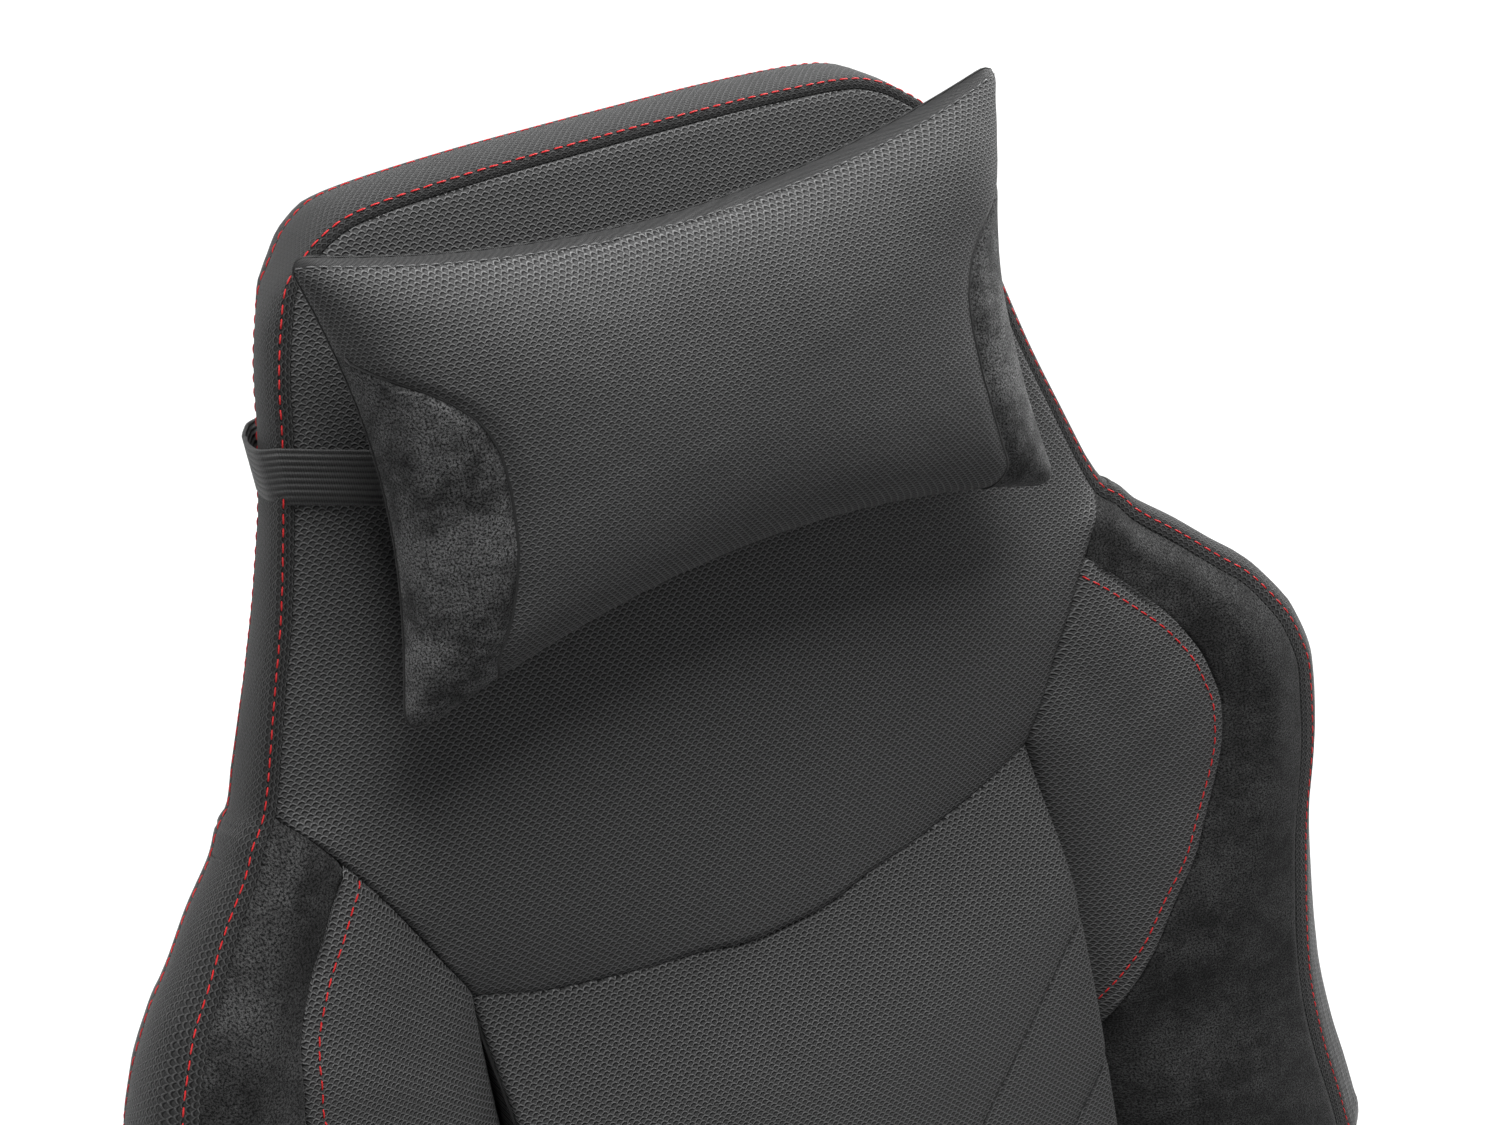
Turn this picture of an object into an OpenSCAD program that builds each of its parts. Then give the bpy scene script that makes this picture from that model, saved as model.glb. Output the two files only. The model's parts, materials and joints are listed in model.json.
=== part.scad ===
// Racing-style seat unit: reclining high back with a strapped head pillow,
// built on two tube frames that meet at side recliners.
// Millimetres. X runs across the seat, -Y is the front and +Z is up.
// The origin is the centre of the four base bolts, on the underside.

/* [Back] */
// Height of the back above the recliner axis
back_h = 772; // [740:1:810]
// Lean of the back from upright, where it is locked
back_lean = 20; // [12:1:26]
// Width of the head between its front edges
head_w = 300; // [270:1:320]
// Width across the shoulders, between their front edges
shoulder_w = 414; // [390:1:430]
// Height of the shoulders
shoulder_h = 550; // [535:1:565]
// Width between the wings' front edges at their widest
wing_w = 558; // [540:1:570]
// Height at which the wings are widest
wing_h = 445; // [435:1:455]
// Width between the front edges at the waist
waist_w = 520; // [500:1:535]
// Height of the waist
waist_h = 285; // [270:1:300]
// Width between the front edges at the lower flare
flare_w = 554; // [535:1:560]
// Height of the lower flare
flare_h = 165; // [155:1:175]
// Height of the foot of the back over the recliner axis
foot_h = -12; // [-16:1:-6]
// How far the flat front lies ahead of the recliner axis
face_n = 22; // [18:1:26]
// How far the wings' front edges lie ahead of the recliner axis
wing_n = 67; // [55:1:75]
// How far the rear cover lies behind the recliner axis
rear_n = 32; // [30:1:36]
// Thickness of the padded band around the sides
band_t = 4; // [3:0.5:5]

/* [Back panels] */
// Width of the lumbar block
block_w = 290; // [270:1:300]
// Height of the block's top corners
block_top = 445; // [435:1:455]
// How far the block's top seam dips at its middle
block_dip = 29; // [15:1:35]
// Crown of the block over the flat front
block_crown = 26; // [18:1:30]
// Spacing of the quilted chevrons along the block
quilt_pitch = 77; // [65:1:95]
// Height of the block's highest channel at its middle
quilt_top = 229; // [210:1:245]
// Depth of the quilted channels
quilt_depth = 5; // [2:0.5:7]
// Crown of the upper panel
upper_crown = 9; // [5:1:12]

/* [Head pillow] */
// Width of the head pillow
pillow_w = 298; // [270:1:300]
// Height of the head pillow at its corners
pillow_h = 178; // [160:1:185]
// Thickness of the head pillow at its crown
pillow_t = 62; // [50:1:66]
// Height of the pillow's lower corners
pillow_foot = 579; // [575:1:585]
// Width of the elastic strap
strap_w = 22; // [16:1:28]
// Thickness of the elastic strap
strap_t = 1.6; // [1.2:0.1:2.2]
// Travel of the pillow up the head
pillow_travel = 30; // [10:1:35]

/* [Seat] */
// Depth of the seat, front to back
seat_d = 490; // [470:1:510]
// Width of the seat at the front
seat_w = 524; // [500:1:530]
// Width of the seat beside the recliners
seat_rear_w = 480; // [470:1:486]
// Width of the seat's centre panel
panel_w = 350; // [330:1:370]
// Height of the foam base over the mounting plane
base_h = 62; // [56:1:70]
// Height of the side bolsters over the mounting plane
bolster_h = 132; // [120:1:140]
// Height of the centre panel's crown over the mounting plane
cushion_h = 108; // [100:1:114]

/* [Steel frames] */
// Outside diameter of the frame tubes
tube_d = 22; // [19:0.5:25]
// Wall of the frame tubes
tube_wall = 1.5; // [1.2:0.1:2]
// Bend radius of the tubes, on the centre line
bend_r = 33; // [30:1:36]
// Diameter of the wing hoops' wire
hoop_d = 8; // [6:0.5:9]

/* [Base mount] */
// Thickness of the two base plates
plate_t = 3; // [2.5:0.5:4]
// Width of the base plates, front to back
plate_w = 46; // [40:1:60]
// Bolt spacing across the seat
bolt_dx = 150; // [140:1:170]
// Bolt spacing front to back
bolt_dy = 200; // [190:1:210]
// Diameter of the base bolt holes
bolt_hole = 8.5; // [8.4:0.1:9]

/* [Recliner] */
// Height of the recliner axis over the mounting plane
pivot_z = 92; // [88:1:100]
// Thickness of the recliner's steel plates
steel_t = 4; // [3:0.5:5]
// Number of teeth in the locking ring
ring_teeth = 72; // [72, 120]
// Radius at the roots of the ring's teeth
ring_root = 30; // [29:0.5:31]
// Depth of the teeth
tooth_d = 1.4; // [1.2:0.1:1.4]
// Running clearance between the pawls' teeth and the ring
tooth_gap = 0.25; // [0.2:0.05:0.3]
// Width of each locking pawl
pawl_w = 16; // [14:0.5:18]
// Sliding clearance of the pawls in their guides
guide_gap = 0.15; // [0.1:0.05:0.2]
// Diameter of the release shaft
shaft_d = 12; // [10:0.5:13]
// Running clearance on every shaft and hinge pin, on the radius
run_gap = 0.05; // [0.03:0.01:0.08]
// Width of the clock spring's strip
spring_strip = 7; // [5:0.5:8]
// Thickness of the clock spring's strip
spring_t = 2.4; // [1.5:0.1:2.6]
// Turns of the clock spring, counted to the nearest whole one
spring_turns = 3; // [2:1:4]
// Thread diameter of the frame bolts
bolt_d = 8; // [7:0.5:8]

/* [Covers and lever] */
// Wall of the moulded covers
cover_wall = 2.5; // [2:0.1:3]
// Depth of the covers, outwards
cover_d = 26; // [24:1:30]
// Length of the recline lever
lever_len = 168; // [140:1:180]
// Thickness of the lever's steel blade
lever_t = 5; // [4:0.5:6]

/* [Hidden] */
$fn = 48;

cloth_gap = 0.4;                            // soft pieces stay this far apart
steel_gap = 0.3;                            // air between plates that pass
tube_r = tube_d / 2;
seat_rear = 193;                            // rear edge of the seat cushion
seat_front = seat_rear - seat_d;
pivot_y = seat_rear + 52;                   // the recliner axis, behind the cushion
tube_z = plate_t + tube_r;

// Places across the seat, from the side of the cushion outwards
bracket_x = seat_rear_w / 2 + steel_gap;    // inner face of the seat brackets
disc_x = bracket_x + steel_t;               // inner face of the recliner discs
disc_t = 12;
arm_x = disc_x + disc_t;                    // inner face of the back arms
cover_x = arm_x + steel_t + 1;              // open edge of the covers
cover_out = cover_x + cover_d;              // outer face of the covers
base_out = arm_x - 0.8;                     // side of the back between the arms
foot_out = bracket_x - 4;                   // side of its foot, between the brackets
arm_tube_x = base_out - band_t - tube_r - 4.5; // side tubes of the back frame
frame_n = -9;                               // the back's tubes run behind the pads
frame_foot = 50;                            // height of the back frame's lower tube
arm_bolt_rise = [36, 58];                   // bolts of the arms, above that tube
arm_end_r = 12;
neck_h = max(flare_h - 43, frame_foot + arm_bolt_rise[1] + arm_end_r + 2); // the sides flare above the arms

// ---------- shared shapes ----------

function mix(a, b, t) = a + (b - a) * t;
function clamp01(t) = min(1, max(0, t));
function ease(t) = let(u = clamp01(t)) u * u * (3 - 2 * u);
function arc_drop(t) = 1 - sqrt(max(0, 1 - t * t));
function mean(pts) = [for (k = [0:2]) sum([for (p = pts) p[k]]) / len(pts)];
function sum(v, i = 0) = i < len(v) ? v[i] + sum(v, i + 1) : 0;

// A smooth curve through hand-set points, with steps between each two
function curve_point(a, b, c, d, t) =
    0.5 * (2 * b + (c - a) * t + (2 * a - 5 * b + 4 * c - d) * t * t
        + (3 * b - a - 3 * c + d) * t * t * t);
function curve(pts, steps) = let(n = len(pts))
    [for (i = [0:n - 2], k = [0:steps - 1])
        curve_point(pts[max(i - 1, 0)], pts[i], pts[i + 1], pts[min(i + 2, n - 1)], k / steps),
        pts[n - 1]];

// A closed solid through rings of equal length. Its ends are fanned from their middles, or,
// where each ring ends in three rear points, joined straight from front to rear.
module loft(rings, three_rear = false) {
    m = len(rings[0]);
    n = len(rings);
    c = m - 4;
    a = floor(c / 4);
    function end_faces(k) = three_rear
        ? concat([for (j = [0:c - 1]) [k + j, k + j + 1, k + (j < a ? c + 3 : j < c - a ? c + 2 : c + 1)]],
            [[k + a, k + c + 2, k + c + 3], [k + c - a, k + c + 1, k + c + 2]])
        : [for (j = [0:m - 1]) [k + j, k + (j + 1) % m, n * m + (k > 0 ? 1 : 0)]];
    function turned(faces) = [for (f = faces) [f[1], f[0], f[2]]];
    points = concat([for (r = rings) for (p = r) p],
        three_rear ? [] : [mean(rings[0]), mean(rings[n - 1])]);
    sides = [for (i = [0:n - 2], j = [0:m - 1])
        let(p = i * m + j, q = i * m + (j + 1) % m)
        each [[p, p + m, q], [q, p + m, q + m]]];
    polyhedron(points, concat(sides, end_faces(0), turned(end_faces((n - 1) * m))));
}

// A closed band through rings of equal length, with no ends
module hoop_loft(rings) {
    m = len(rings[0]);
    n = len(rings);
    points = [for (r = rings) for (p = r) p];
    faces = [for (i = [0:n - 1], j = [0:m - 1])
        let(a = i * m + j, b = i * m + (j + 1) % m,
            c = ((i + 1) % n) * m + j, d = ((i + 1) % n) * m + (j + 1) % m)
        each [[a, b, c], [b, d, c]]];
    polyhedron(points, faces);
}

// Flat link between two discs, with straight sides that touch both
function arc_points(c, r, from, to, step = 7.5) = [
    c + r * [cos(from), sin(from)],
    for (k = [floor(from / step) + 1:ceil(to / step) - 1])
        if (k * step - from > 1 && to - k * step > 1) c + r * [cos(k * step), sin(k * step)],
    c + r * [cos(to), sin(to)]];
module link(a, ra, b, rb) {
    dir = atan2(b[1] - a[1], b[0] - a[0]);
    side = acos((ra - rb) / norm(b - a));
    polygon(concat(
        arc_points(a, ra, dir + side, dir + 360 - side),
        arc_points(b, rb, dir - side, dir + side)));
}

module ring(r, wall) {
    difference() {
        circle(r);
        if (wall > 0) circle(r - wall);
    }
}

// Round bar along a flat path with bends, or a tube where it has a wall.
// The straight runs lap into the elbows, which are a touch fuller.
module bent_bar(path, r, bend, closed = true, wall = 0) {
    lap = 2;
    fuller = 0.1;
    least = 12;
    n = len(path);
    function at(i) = path[(i + n) % n];
    function turn(i) = let(u = at(i) - at(i - 1), w = at(i + 1) - at(i), t = atan2(u[0] * w[1] - u[1] * w[0], u * w))
        abs(t) < 0.1 ? 0.1 : t;
    function is_bend(i) = closed || (i > 0 && i < n - 1);
    function elbow(i) = max(bend, least / tan(abs(turn(i)) / 2));
    function setback(i) = is_bend(i) ? elbow(i) * tan(abs(turn(i)) / 2) : lap;
    for (i = [0:closed ? n - 1 : n - 2]) {
        a = at(i);
        step = at(i + 1) - a;
        u = step / norm(step);
        p = a + u * (setback(i) - lap);
        run = norm(step) - setback(i) - setback((i + 1) % n) + 2 * lap;
        translate([p[0], p[1], 0]) rotate([0, 0, atan2(u[1], u[0])])
            rotate([0, 90, 0]) linear_extrude(run) ring(r, wall);
    }
    for (i = [0:n - 1]) {
        if (is_bend(i)) {
            u = (at(i) - at(i - 1)) / norm(at(i) - at(i - 1));
            s = sign(turn(i));
            start = at(i) - u * setback(i);
            centre = start + s * elbow(i) * [-u[1], u[0]];
            first = atan2(start[1] - centre[1], start[0] - centre[0]);
            translate([centre[0], centre[1], 0])
                rotate([0, 0, s > 0 ? first : first - abs(turn(i))])
                rotate_extrude(angle = abs(turn(i))) translate([elbow(i), 0])
                ring(r + fuller, wall > 0 ? wall + 2 * fuller : 0);
        }
    }
}

module bent_tube(path) {
    bent_bar(path, tube_r, bend_r, true, tube_wall);
}

// Hexagon bolt with a round flange, head outwards along +Z
module flange_bolt(grip) {
    head_h = 0.65 * bolt_d;
    translate([0, 0, -grip]) cylinder(d = bolt_d - 0.3, h = grip);
    cylinder(d = 2.1 * bolt_d, h = 1.6);
    translate([0, 0, 1.6]) cylinder(d = 1.6 * bolt_d, h = head_h, $fn = 6);
}

// Side pieces are drawn in the plane of the plates: u to the rear, v up
module side_plane(x) {
    translate([x, pivot_y, pivot_z]) rotate([90, 0, 90]) children();
}

// The back's own space: X across, Y behind the axis, Z up along the back
module in_back() {
    translate([0, pivot_y, pivot_z]) rotate([-back_lean, 0, 0]) children();
}

function back_point(x, v, n) = [x, -n, v];

// ---------- outline of the back ----------

// Front edge on one side, top to foot: half width, height, forward, side bulge
edge = [
    [0, back_h - 9, face_n - 2, 7],
    [0.36 * head_w, back_h - 11, face_n - 2, 6],
    [0.44 * head_w, back_h - 20, face_n - 2, 3],
    [head_w / 2 - 3, mix(shoulder_h, back_h, 0.825), face_n - 1, 3],
    [head_w / 2 + 9, mix(shoulder_h, back_h, 0.65), face_n, 3.5],
    [mix(head_w, shoulder_w, 0.33) / 2, mix(shoulder_h, back_h, 0.46), face_n, 4.5],
    [mix(head_w, shoulder_w, 0.69) / 2, mix(shoulder_h, back_h, 0.2), face_n + 1, 7],
    [shoulder_w / 2, shoulder_h, face_n + 4, 8.5],
    [mix(shoulder_w, wing_w, 0.39) / 2, mix(wing_h, shoulder_h, 0.72), mix(face_n, wing_n, 0.4), 9],
    [mix(shoulder_w, wing_w, 0.8) / 2, mix(wing_h, shoulder_h, 0.41), wing_n - 7, 10],
    [wing_w / 2, wing_h, wing_n, 12],
    [wing_w / 2 - 3, wing_h - 49, wing_n, 17],
    [waist_w / 2 + 4, waist_h + 45, wing_n, 27],
    [waist_w / 2, waist_h, wing_n, 30],
    [mix(waist_w, flare_w, 0.4) / 2, flare_h + 62, wing_n, 31],
    [flare_w / 2, flare_h + 4, wing_n - 2, 32],
    [flare_w / 2 - 5, max(flare_h - 27, neck_h + 16), wing_n - 12, 20],
    [base_out - 6, neck_h, mix(face_n, wing_n, 0.4), 6],
    [base_out - 18, neck_h - 17, face_n + 8, 17],
    [base_out - 19, 66, face_n + 2, 18],
    [foot_out - 14, 44, face_n, 13],
    [foot_out - 16, foot_h + 14, face_n, 13],
    [foot_out - 42, foot_h + 2, face_n, 2],
    [0, foot_h + 2, face_n, 2]];
function edge_x(v) = lookup(v, [for (e = edge_smooth) [e[1], e[0]]]);
function edge_n(v) = lookup(v, [for (e = edge_smooth) [e[1], e[2]]]);
function edge_out(v) = lookup(v, [for (e = edge_smooth) [e[1], e[3]]]);
edge_smooth = [for (p = curve(edge, 2)) if (p[1] < back_h - 9 && p[1] > foot_h + 2) p];

// Seam between the upper panel and each wing: half width against height
seam_low = [block_w / 2 - 1, block_top];
seam_high = [shoulder_w / 2 - 4, shoulder_h - 1];
function seam_x(v) = v <= block_top ? block_w / 2 + 1 :
    let(t = clamp01((v - seam_low[1]) / (seam_high[1] - seam_low[1])))
    mix(seam_low[0], seam_high[0], 0.78 * t + 0.22 * t * t * t);
function seam_n(v) = face_n - 2 + 12 * sin(180 * clamp01((v - block_top) / (shoulder_h - block_top)));

// ---------- seat ----------

skirt_t = 3;                                // cloth and felt round the frame
skirt_foot = plate_t + 1.6;                 // its hem clears the base plates
seat_strap_t = 2;                           // seat webbing
seat_tube_x = min(seat_rear_w, seat_w) / 2 - skirt_t - seat_strap_t - 0.6 - tube_r;
seat_path = let(f = seat_front + 34, r = seat_rear - 18)
    [[-seat_tube_x, f], [seat_tube_x, f], [seat_tube_x, r], [-seat_tube_x, r]];

module seat_frame() {
    color("dimgray") difference() {
        union() {
            translate([0, 0, tube_z]) bent_tube(seat_path);
            // welded bosses that take the bracket bolts
            difference() {
                at_bosses() cylinder(r = 9, h = seat_rear_w / 2 - seat_tube_x);
                translate([0, 0, tube_z]) bent_bar(seat_path, tube_r - tube_wall, bend_r);
            }
        }
        at_bosses() translate([0, 0, -2]) cylinder(d = bolt_d, h = seat_rear_w);
    }
}

module at_bosses() {
    for (s = [-1, 1], b = bracket_feet)
        translate([s * seat_tube_x, pivot_y + b[0], pivot_z + b[1]]) rotate([0, s * 90, 0]) children();
}

// Two cross plates under the frame carry the base bolts
flange_half = seat_rear_w / 2 - 48;
module base_plates() {
    half = seat_tube_x + tube_r - 1;
    color("dimgray") difference() {
        for (s = [-1, 1]) {
            translate([-half, s * bolt_dy / 2 - plate_w / 2, 0]) cube([2 * half, plate_w, plate_t]);
            for (e = [-1, 1])
                translate([-flange_half, s * bolt_dy / 2 + e * (plate_w / 2 - plate_t / 2) - plate_t / 2, 0])
                    cube([2 * flange_half, plate_t, 14]);
        }
        base_holes() cylinder(d = bolt_hole, h = 4 * plate_t, center = true);
    }
}

module base_holes() {
    for (sx = [-1, 1], sy = [-1, 1])
        translate([sx * bolt_dx / 2, sy * bolt_dy / 2, 0]) children();
}

module base_nuts() {
    color("silver") base_holes() translate([0, 0, plate_t]) difference() {
        cylinder(d = 1.75 * bolt_hole, h = 6.5, $fn = 6);
        translate([0, 0, -1]) cylinder(d = bolt_hole, h = 9);
    }
}

// Elastic webbing over the side tubes: five straps ahead of the brackets, one between their feet
module seat_webbing() {
    w = 38;
    front = seat_front + 90;
    rear = pivot_y + bracket_feet[0][0] - 12 - w / 2;
    between = pivot_y + (bracket_feet[0][0] + bracket_feet[1][0]) / 2;
    color("black") for (y = concat([for (i = [0:4]) mix(front, rear, i / 4)], [between]))
        translate([0, y, tube_z]) webbing_strap(seat_tube_x, w);
}

// One strap: flat on top of two tubes, each end hooked over its tube
module webbing_strap(span, w) {
    t = seat_strap_t;
    inner = tube_r + 0.1;
    rotate([90, 0, 0]) translate([0, 0, -w / 2]) linear_extrude(w) {
        translate([-span, inner]) square([2 * span, t]);
        for (s = [-1, 1])
            translate([s * span, 0]) difference() {
                circle(inner + t);
                circle(inner);
                translate([s > 0 ? -2 * tube_d : 0, -tube_d]) square([2 * tube_d, 2 * tube_d]);
                translate([-tube_d, -tube_r / 2 - tube_d]) square([2 * tube_d, tube_d]);
            }
    }
}

// Half width of the seat at y: rounded front corners, narrower beside the recliners
corner_r = 42;
function seat_side(y) = mix(seat_w, seat_rear_w, ease((y + 40) / 70)) / 2;
function seat_half(y) = seat_side(y) - corner_r * arc_drop(clamp01((seat_front + corner_r - y) / corner_r));

function seat_outline(inset) = let(
    r = corner_r - inset,
    c = [seat_w / 2 - corner_r, seat_front + corner_r],
    half = concat(
        [for (a = [-90:15:0]) c + r * [cos(a), sin(a)]],
        [for (y = concat([for (i = [0:6]) mix(-42, 32, i / 6)], [seat_rear - inset])) [seat_side(y) - inset, y]]))
    concat(half, [for (i = [len(half) - 1:-1:0]) [-half[i][0], half[i][1]]]);

// Foam base and the sewn skirt that hangs round the frame
module seat_foam() {
    top_of_straps = tube_z + tube_r + seat_strap_t + 1;
    color("#26262a") difference() {
        translate([0, 0, skirt_foot]) linear_extrude(base_h - skirt_foot) polygon(seat_outline(0));
        linear_extrude(top_of_straps) polygon(seat_outline(skirt_t));
        for (s = [-1, 1], b = bracket_feet)
            translate([s * (seat_rear_w / 2 - 5), pivot_y + b[0], pivot_z + b[1]])
                rotate([0, s * 90, 0]) cylinder(r = 10, h = 8);
    }
}

// Quilted panels: their rows run along the chevrons, so that channels fall on rows
quilt_rise = 0.9;                           // rise of a chevron per unit of half width
quilt_flank = 9;                            // half width of a channel

// Heights of the rows, along the centre line, that cover low to high
function quilt_rows(low, high, half, phase) = let(
    first = floor((low - quilt_rise * half - phase) / quilt_pitch),
    last = ceil((high - phase) / quilt_pitch))
    [for (k = [first:last]) each [for (d = [-quilt_flank, 0, quilt_flank, quilt_pitch / 2])
        phase + k * quilt_pitch + d]];
// Place on a row, squeezed into the panel's last few millimetres at both ends
function on_row(row, x, low, high) = let(
    p = row + quilt_rise * abs(x),
    edge_band = 9,
    squeeze = 0.03)
    p < low + edge_band ? low + edge_band + squeeze * (p - low - edge_band)
    : p > high - edge_band ? high - edge_band + squeeze * (p - high + edge_band)
    : p;
function channel(x, p, phase, last = 9) = let(
    d = (p - quilt_rise * abs(x) - phase) / quilt_pitch,
    off = abs(d - min(last, round(d))) * quilt_pitch)
    quilt_depth * pow(clamp01(1 - off / (2.4 * quilt_flank)), 2);

// The centre panel's top: crowned, quilted in chevrons, rolled down at the front
function cushion_top(x, y) = let(
    half = panel_w / 2,
    side = arc_drop(clamp01((abs(x) - half + 26) / 26)) * 11,
    front = arc_drop(clamp01((seat_front + 74 - y) / 74)) * (cushion_h - base_h - 4),
    rear = arc_drop(clamp01((y - seat_rear + 30) / 30)) * 16,
    crown = 12 * pow(x / half, 2))
    max(base_h + 3, cushion_h - crown - side - front - rear - channel(x, y, quilt_pitch / 2));

module seat_cushion() {
    cols = 12;
    half = panel_w / 2 - cloth_gap;
    low = seat_front + 3;
    high = seat_rear - 1;
    rows = quilt_rows(low, high, half, quilt_pitch / 2);
    color("#34343a") loft([for (r = rows) concat(
        [for (j = [0:cols]) let(x = mix(-half, half, j / cols), y = on_row(r, x, low, high))
            [x, y, cushion_top(x, y)]],
        [for (x = [half, 0, -half]) [x, on_row(r, x, low, high), base_h + 0.2]])]);
}

// A side bolster: rises from the seam, rounds over and falls to the seat's side
module seat_bolster(s) {
    cols = 9;
    rows = 20;
    inner = panel_w / 2 + cloth_gap;
    ys = [for (i = [0:rows]) mix(seat_front + 3, seat_rear - 1, i / rows)];
    color("#1b1b1e") mirror([s < 0 ? 1 : 0, 0, 0]) loft([for (y = ys) let(
        outer = seat_half(y) - 1,
        front = 1 - arc_drop(clamp01((seat_front + 110 - y) / 108)),
        rear = 1 - 0.35 * arc_drop(clamp01((y - seat_rear + 40) / 40)),
        rise = (bolster_h - base_h) * front * rear)
        concat(
            [for (j = [0:cols]) let(t = j / cols, bump = pow(sin(180 * (0.14 + 0.86 * pow(t, 0.8))), 0.7))
                [mix(inner, outer, t) + (t == 1 ? -2 : 0), y, base_h + 4 + max(1, (rise - 4) * bump)]],
            [[outer - 2, y, base_h + 0.2], [inner, y, base_h + 0.2]])]);
}

// Thin cloth that closes the underside, cut round the nuts
module dust_cover() {
    half = seat_tube_x - tube_r - 1.4;
    color("#18181a") difference() {
        translate([-half, seat_front + 50, plate_t + steel_gap])
            cube([2 * half, seat_d - 86, 1]);
        base_holes() cylinder(d = 1.75 * bolt_hole + 3, h = 30, center = true);
        for (s = [-1, 1], e = [-1, 1])
            translate([0, s * bolt_dy / 2 + e * (plate_w / 2 - plate_t / 2), 8])
                cube([2 * flange_half + 1, plate_t + 1, 20], center = true);
    }
}

// ---------- recliner ----------

// Bolt places on the seat brackets, from the recliner axis: rearwards, up
bracket_feet = [[-190, tube_z - pivot_z], [-98, tube_z - pivot_z]];
// Bolt places on the back arms: behind the axis, up along the back
arm_holes = [for (rise = arm_bolt_rise) [-frame_n, frame_foot + rise]];
disc_r = 38;
hub_r = shaft_d / 2;

module bracket_shape() {
    foot_r = tube_z - 1;
    link([0, 0], disc_r + 2, bracket_feet[1], foot_r);
    link(bracket_feet[1], foot_r - 0.5, bracket_feet[0], foot_r - 0.5);
}

// Seat bracket: a cranked plate bolted to the seat frame's side
module bracket(s) {
    color("#3a3a3d") mirror([s < 0 ? 1 : 0, 0, 0]) side_plane(bracket_x) difference() {
        linear_extrude(steel_t) bracket_shape();
        for (b = bracket_feet)
            translate([b[0], b[1], -1]) cylinder(d = bolt_d + 0.6, h = steel_t + 2);
        translate([0, 0, -1]) cylinder(r = hub_r + run_gap, h = steel_t + 2);
        // lightening hole between the two feet
        translate([(bracket_feet[0][0] + bracket_feet[1][0]) / 2, bracket_feet[0][1], -1])
            cylinder(d = 14, h = steel_t + 2);
    }
}

module bracket_bolts() {
    color("silver") for (s = [-1, 1], b = bracket_feet)
        translate([s * (bracket_x + steel_t), pivot_y + b[0], pivot_z + b[1]])
            rotate([0, s * 90, 0]) flange_bolt(18);
}

// Back arm: a tapered plate from the recliner disc up the back's side
module arm(s) {
    color("#3a3a3d") mirror([s < 0 ? 1 : 0, 0, 0]) in_back() translate([arm_x, 0, 0])
        rotate([90, 0, 90]) difference() {
            linear_extrude(steel_t) {
                link([0, 0], disc_r, arm_holes[1], arm_end_r);
                // ear that takes the clock spring's hook
                link([0, 0], disc_r - 0.6, spring_pin, 8);
            }
            for (h = arm_holes)
                translate([h[0], h[1], -1]) cylinder(d = bolt_d + 0.6, h = steel_t + 2);
            translate([0, 0, -1]) cylinder(r = s < 0 ? hub_r + 1 : hub_r + run_gap, h = steel_t + 2);
        }
}

module arm_bolts() {
    color("silver") for (s = [-1, 1]) in_back() for (h = arm_holes)
        translate([s * (arm_x + steel_t), h[0], h[1]]) rotate([0, s * 90, 0])
            flange_bolt(arm_x + steel_t - arm_tube_x + tube_r - 2);
}

// ---- the lock on the right-hand side: ring, pawls, guide, cam ----

// Points of a toothed arc about the axis, from a to b degrees
function teeth(root, tip, a, b) = let(n = round((b - a) * ring_teeth / 360))
    [for (i = [0:n - 1]) let(c = a + i * 360 / ring_teeth, w = 360 / ring_teeth)
        each [[root, c], [root, c + 0.3 * w], [tip, c + 0.5 * w], [tip, c + 0.8 * w]]];
function polar(list) = [for (p = list) p[0] * [cos(p[1]), sin(p[1])]];

lock_base = 2.6;                             // web of the fixed guide
ring_web = 3;                                // web of the moving ring
pawl_t = disc_t - lock_base - ring_web - 2 * steel_gap;
cam_r = 12.5;
cam_lift = 3;
cam_gap = 0.8;                               // air between the cam and an engaged pawl
pawl_foot = cam_r + cam_lift + cam_gap;      // inner end of an engaged pawl

// Everything in the lock is drawn outwards from the disc's inner face
module in_lock() {
    mirror([1, 0, 0]) side_plane(disc_x) children();
}

// Moving half, riveted to the back arm: a cup with inward teeth, set so that a step falls at rest
module lock_ring() {
    color("silver") in_lock() difference() {
        translate([0, 0, lock_base + steel_gap])
            cylinder(r = disc_r - 3, h = disc_t - lock_base - steel_gap - 0.02);
        translate([0, 0, lock_base]) linear_extrude(disc_t - lock_base - ring_web)
            polygon(polar(teeth(ring_root, ring_root - tooth_d, 0, 360)));
        cylinder(r = hub_r + 1, h = 2 * disc_t);
    }
}

// Fixed half, riveted to the seat bracket: four guide blocks keep the pawls straight
module lock_guide() {
    block_r = ring_root - tooth_d - 0.6;
    color("gray") in_lock() difference() {
        union() {
            translate([0, 0, 0.02]) cylinder(r = disc_r - 0.5, h = lock_base - 0.02);
            translate([0, 0, 0.02]) cylinder(r = block_r, h = lock_base + pawl_t);
        }
        // channels for the pawls
        translate([-pawl_w / 2 - guide_gap, -60, lock_base])
            cube([pawl_w + 2 * guide_gap, 120, disc_t]);
        // room for the cam
        translate([0, 0, lock_base]) cylinder(r = cam_r + cam_lift + 1, h = disc_t);
        translate([0, 0, -1]) cylinder(r = hub_r + run_gap, h = disc_t);
    }
}

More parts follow.
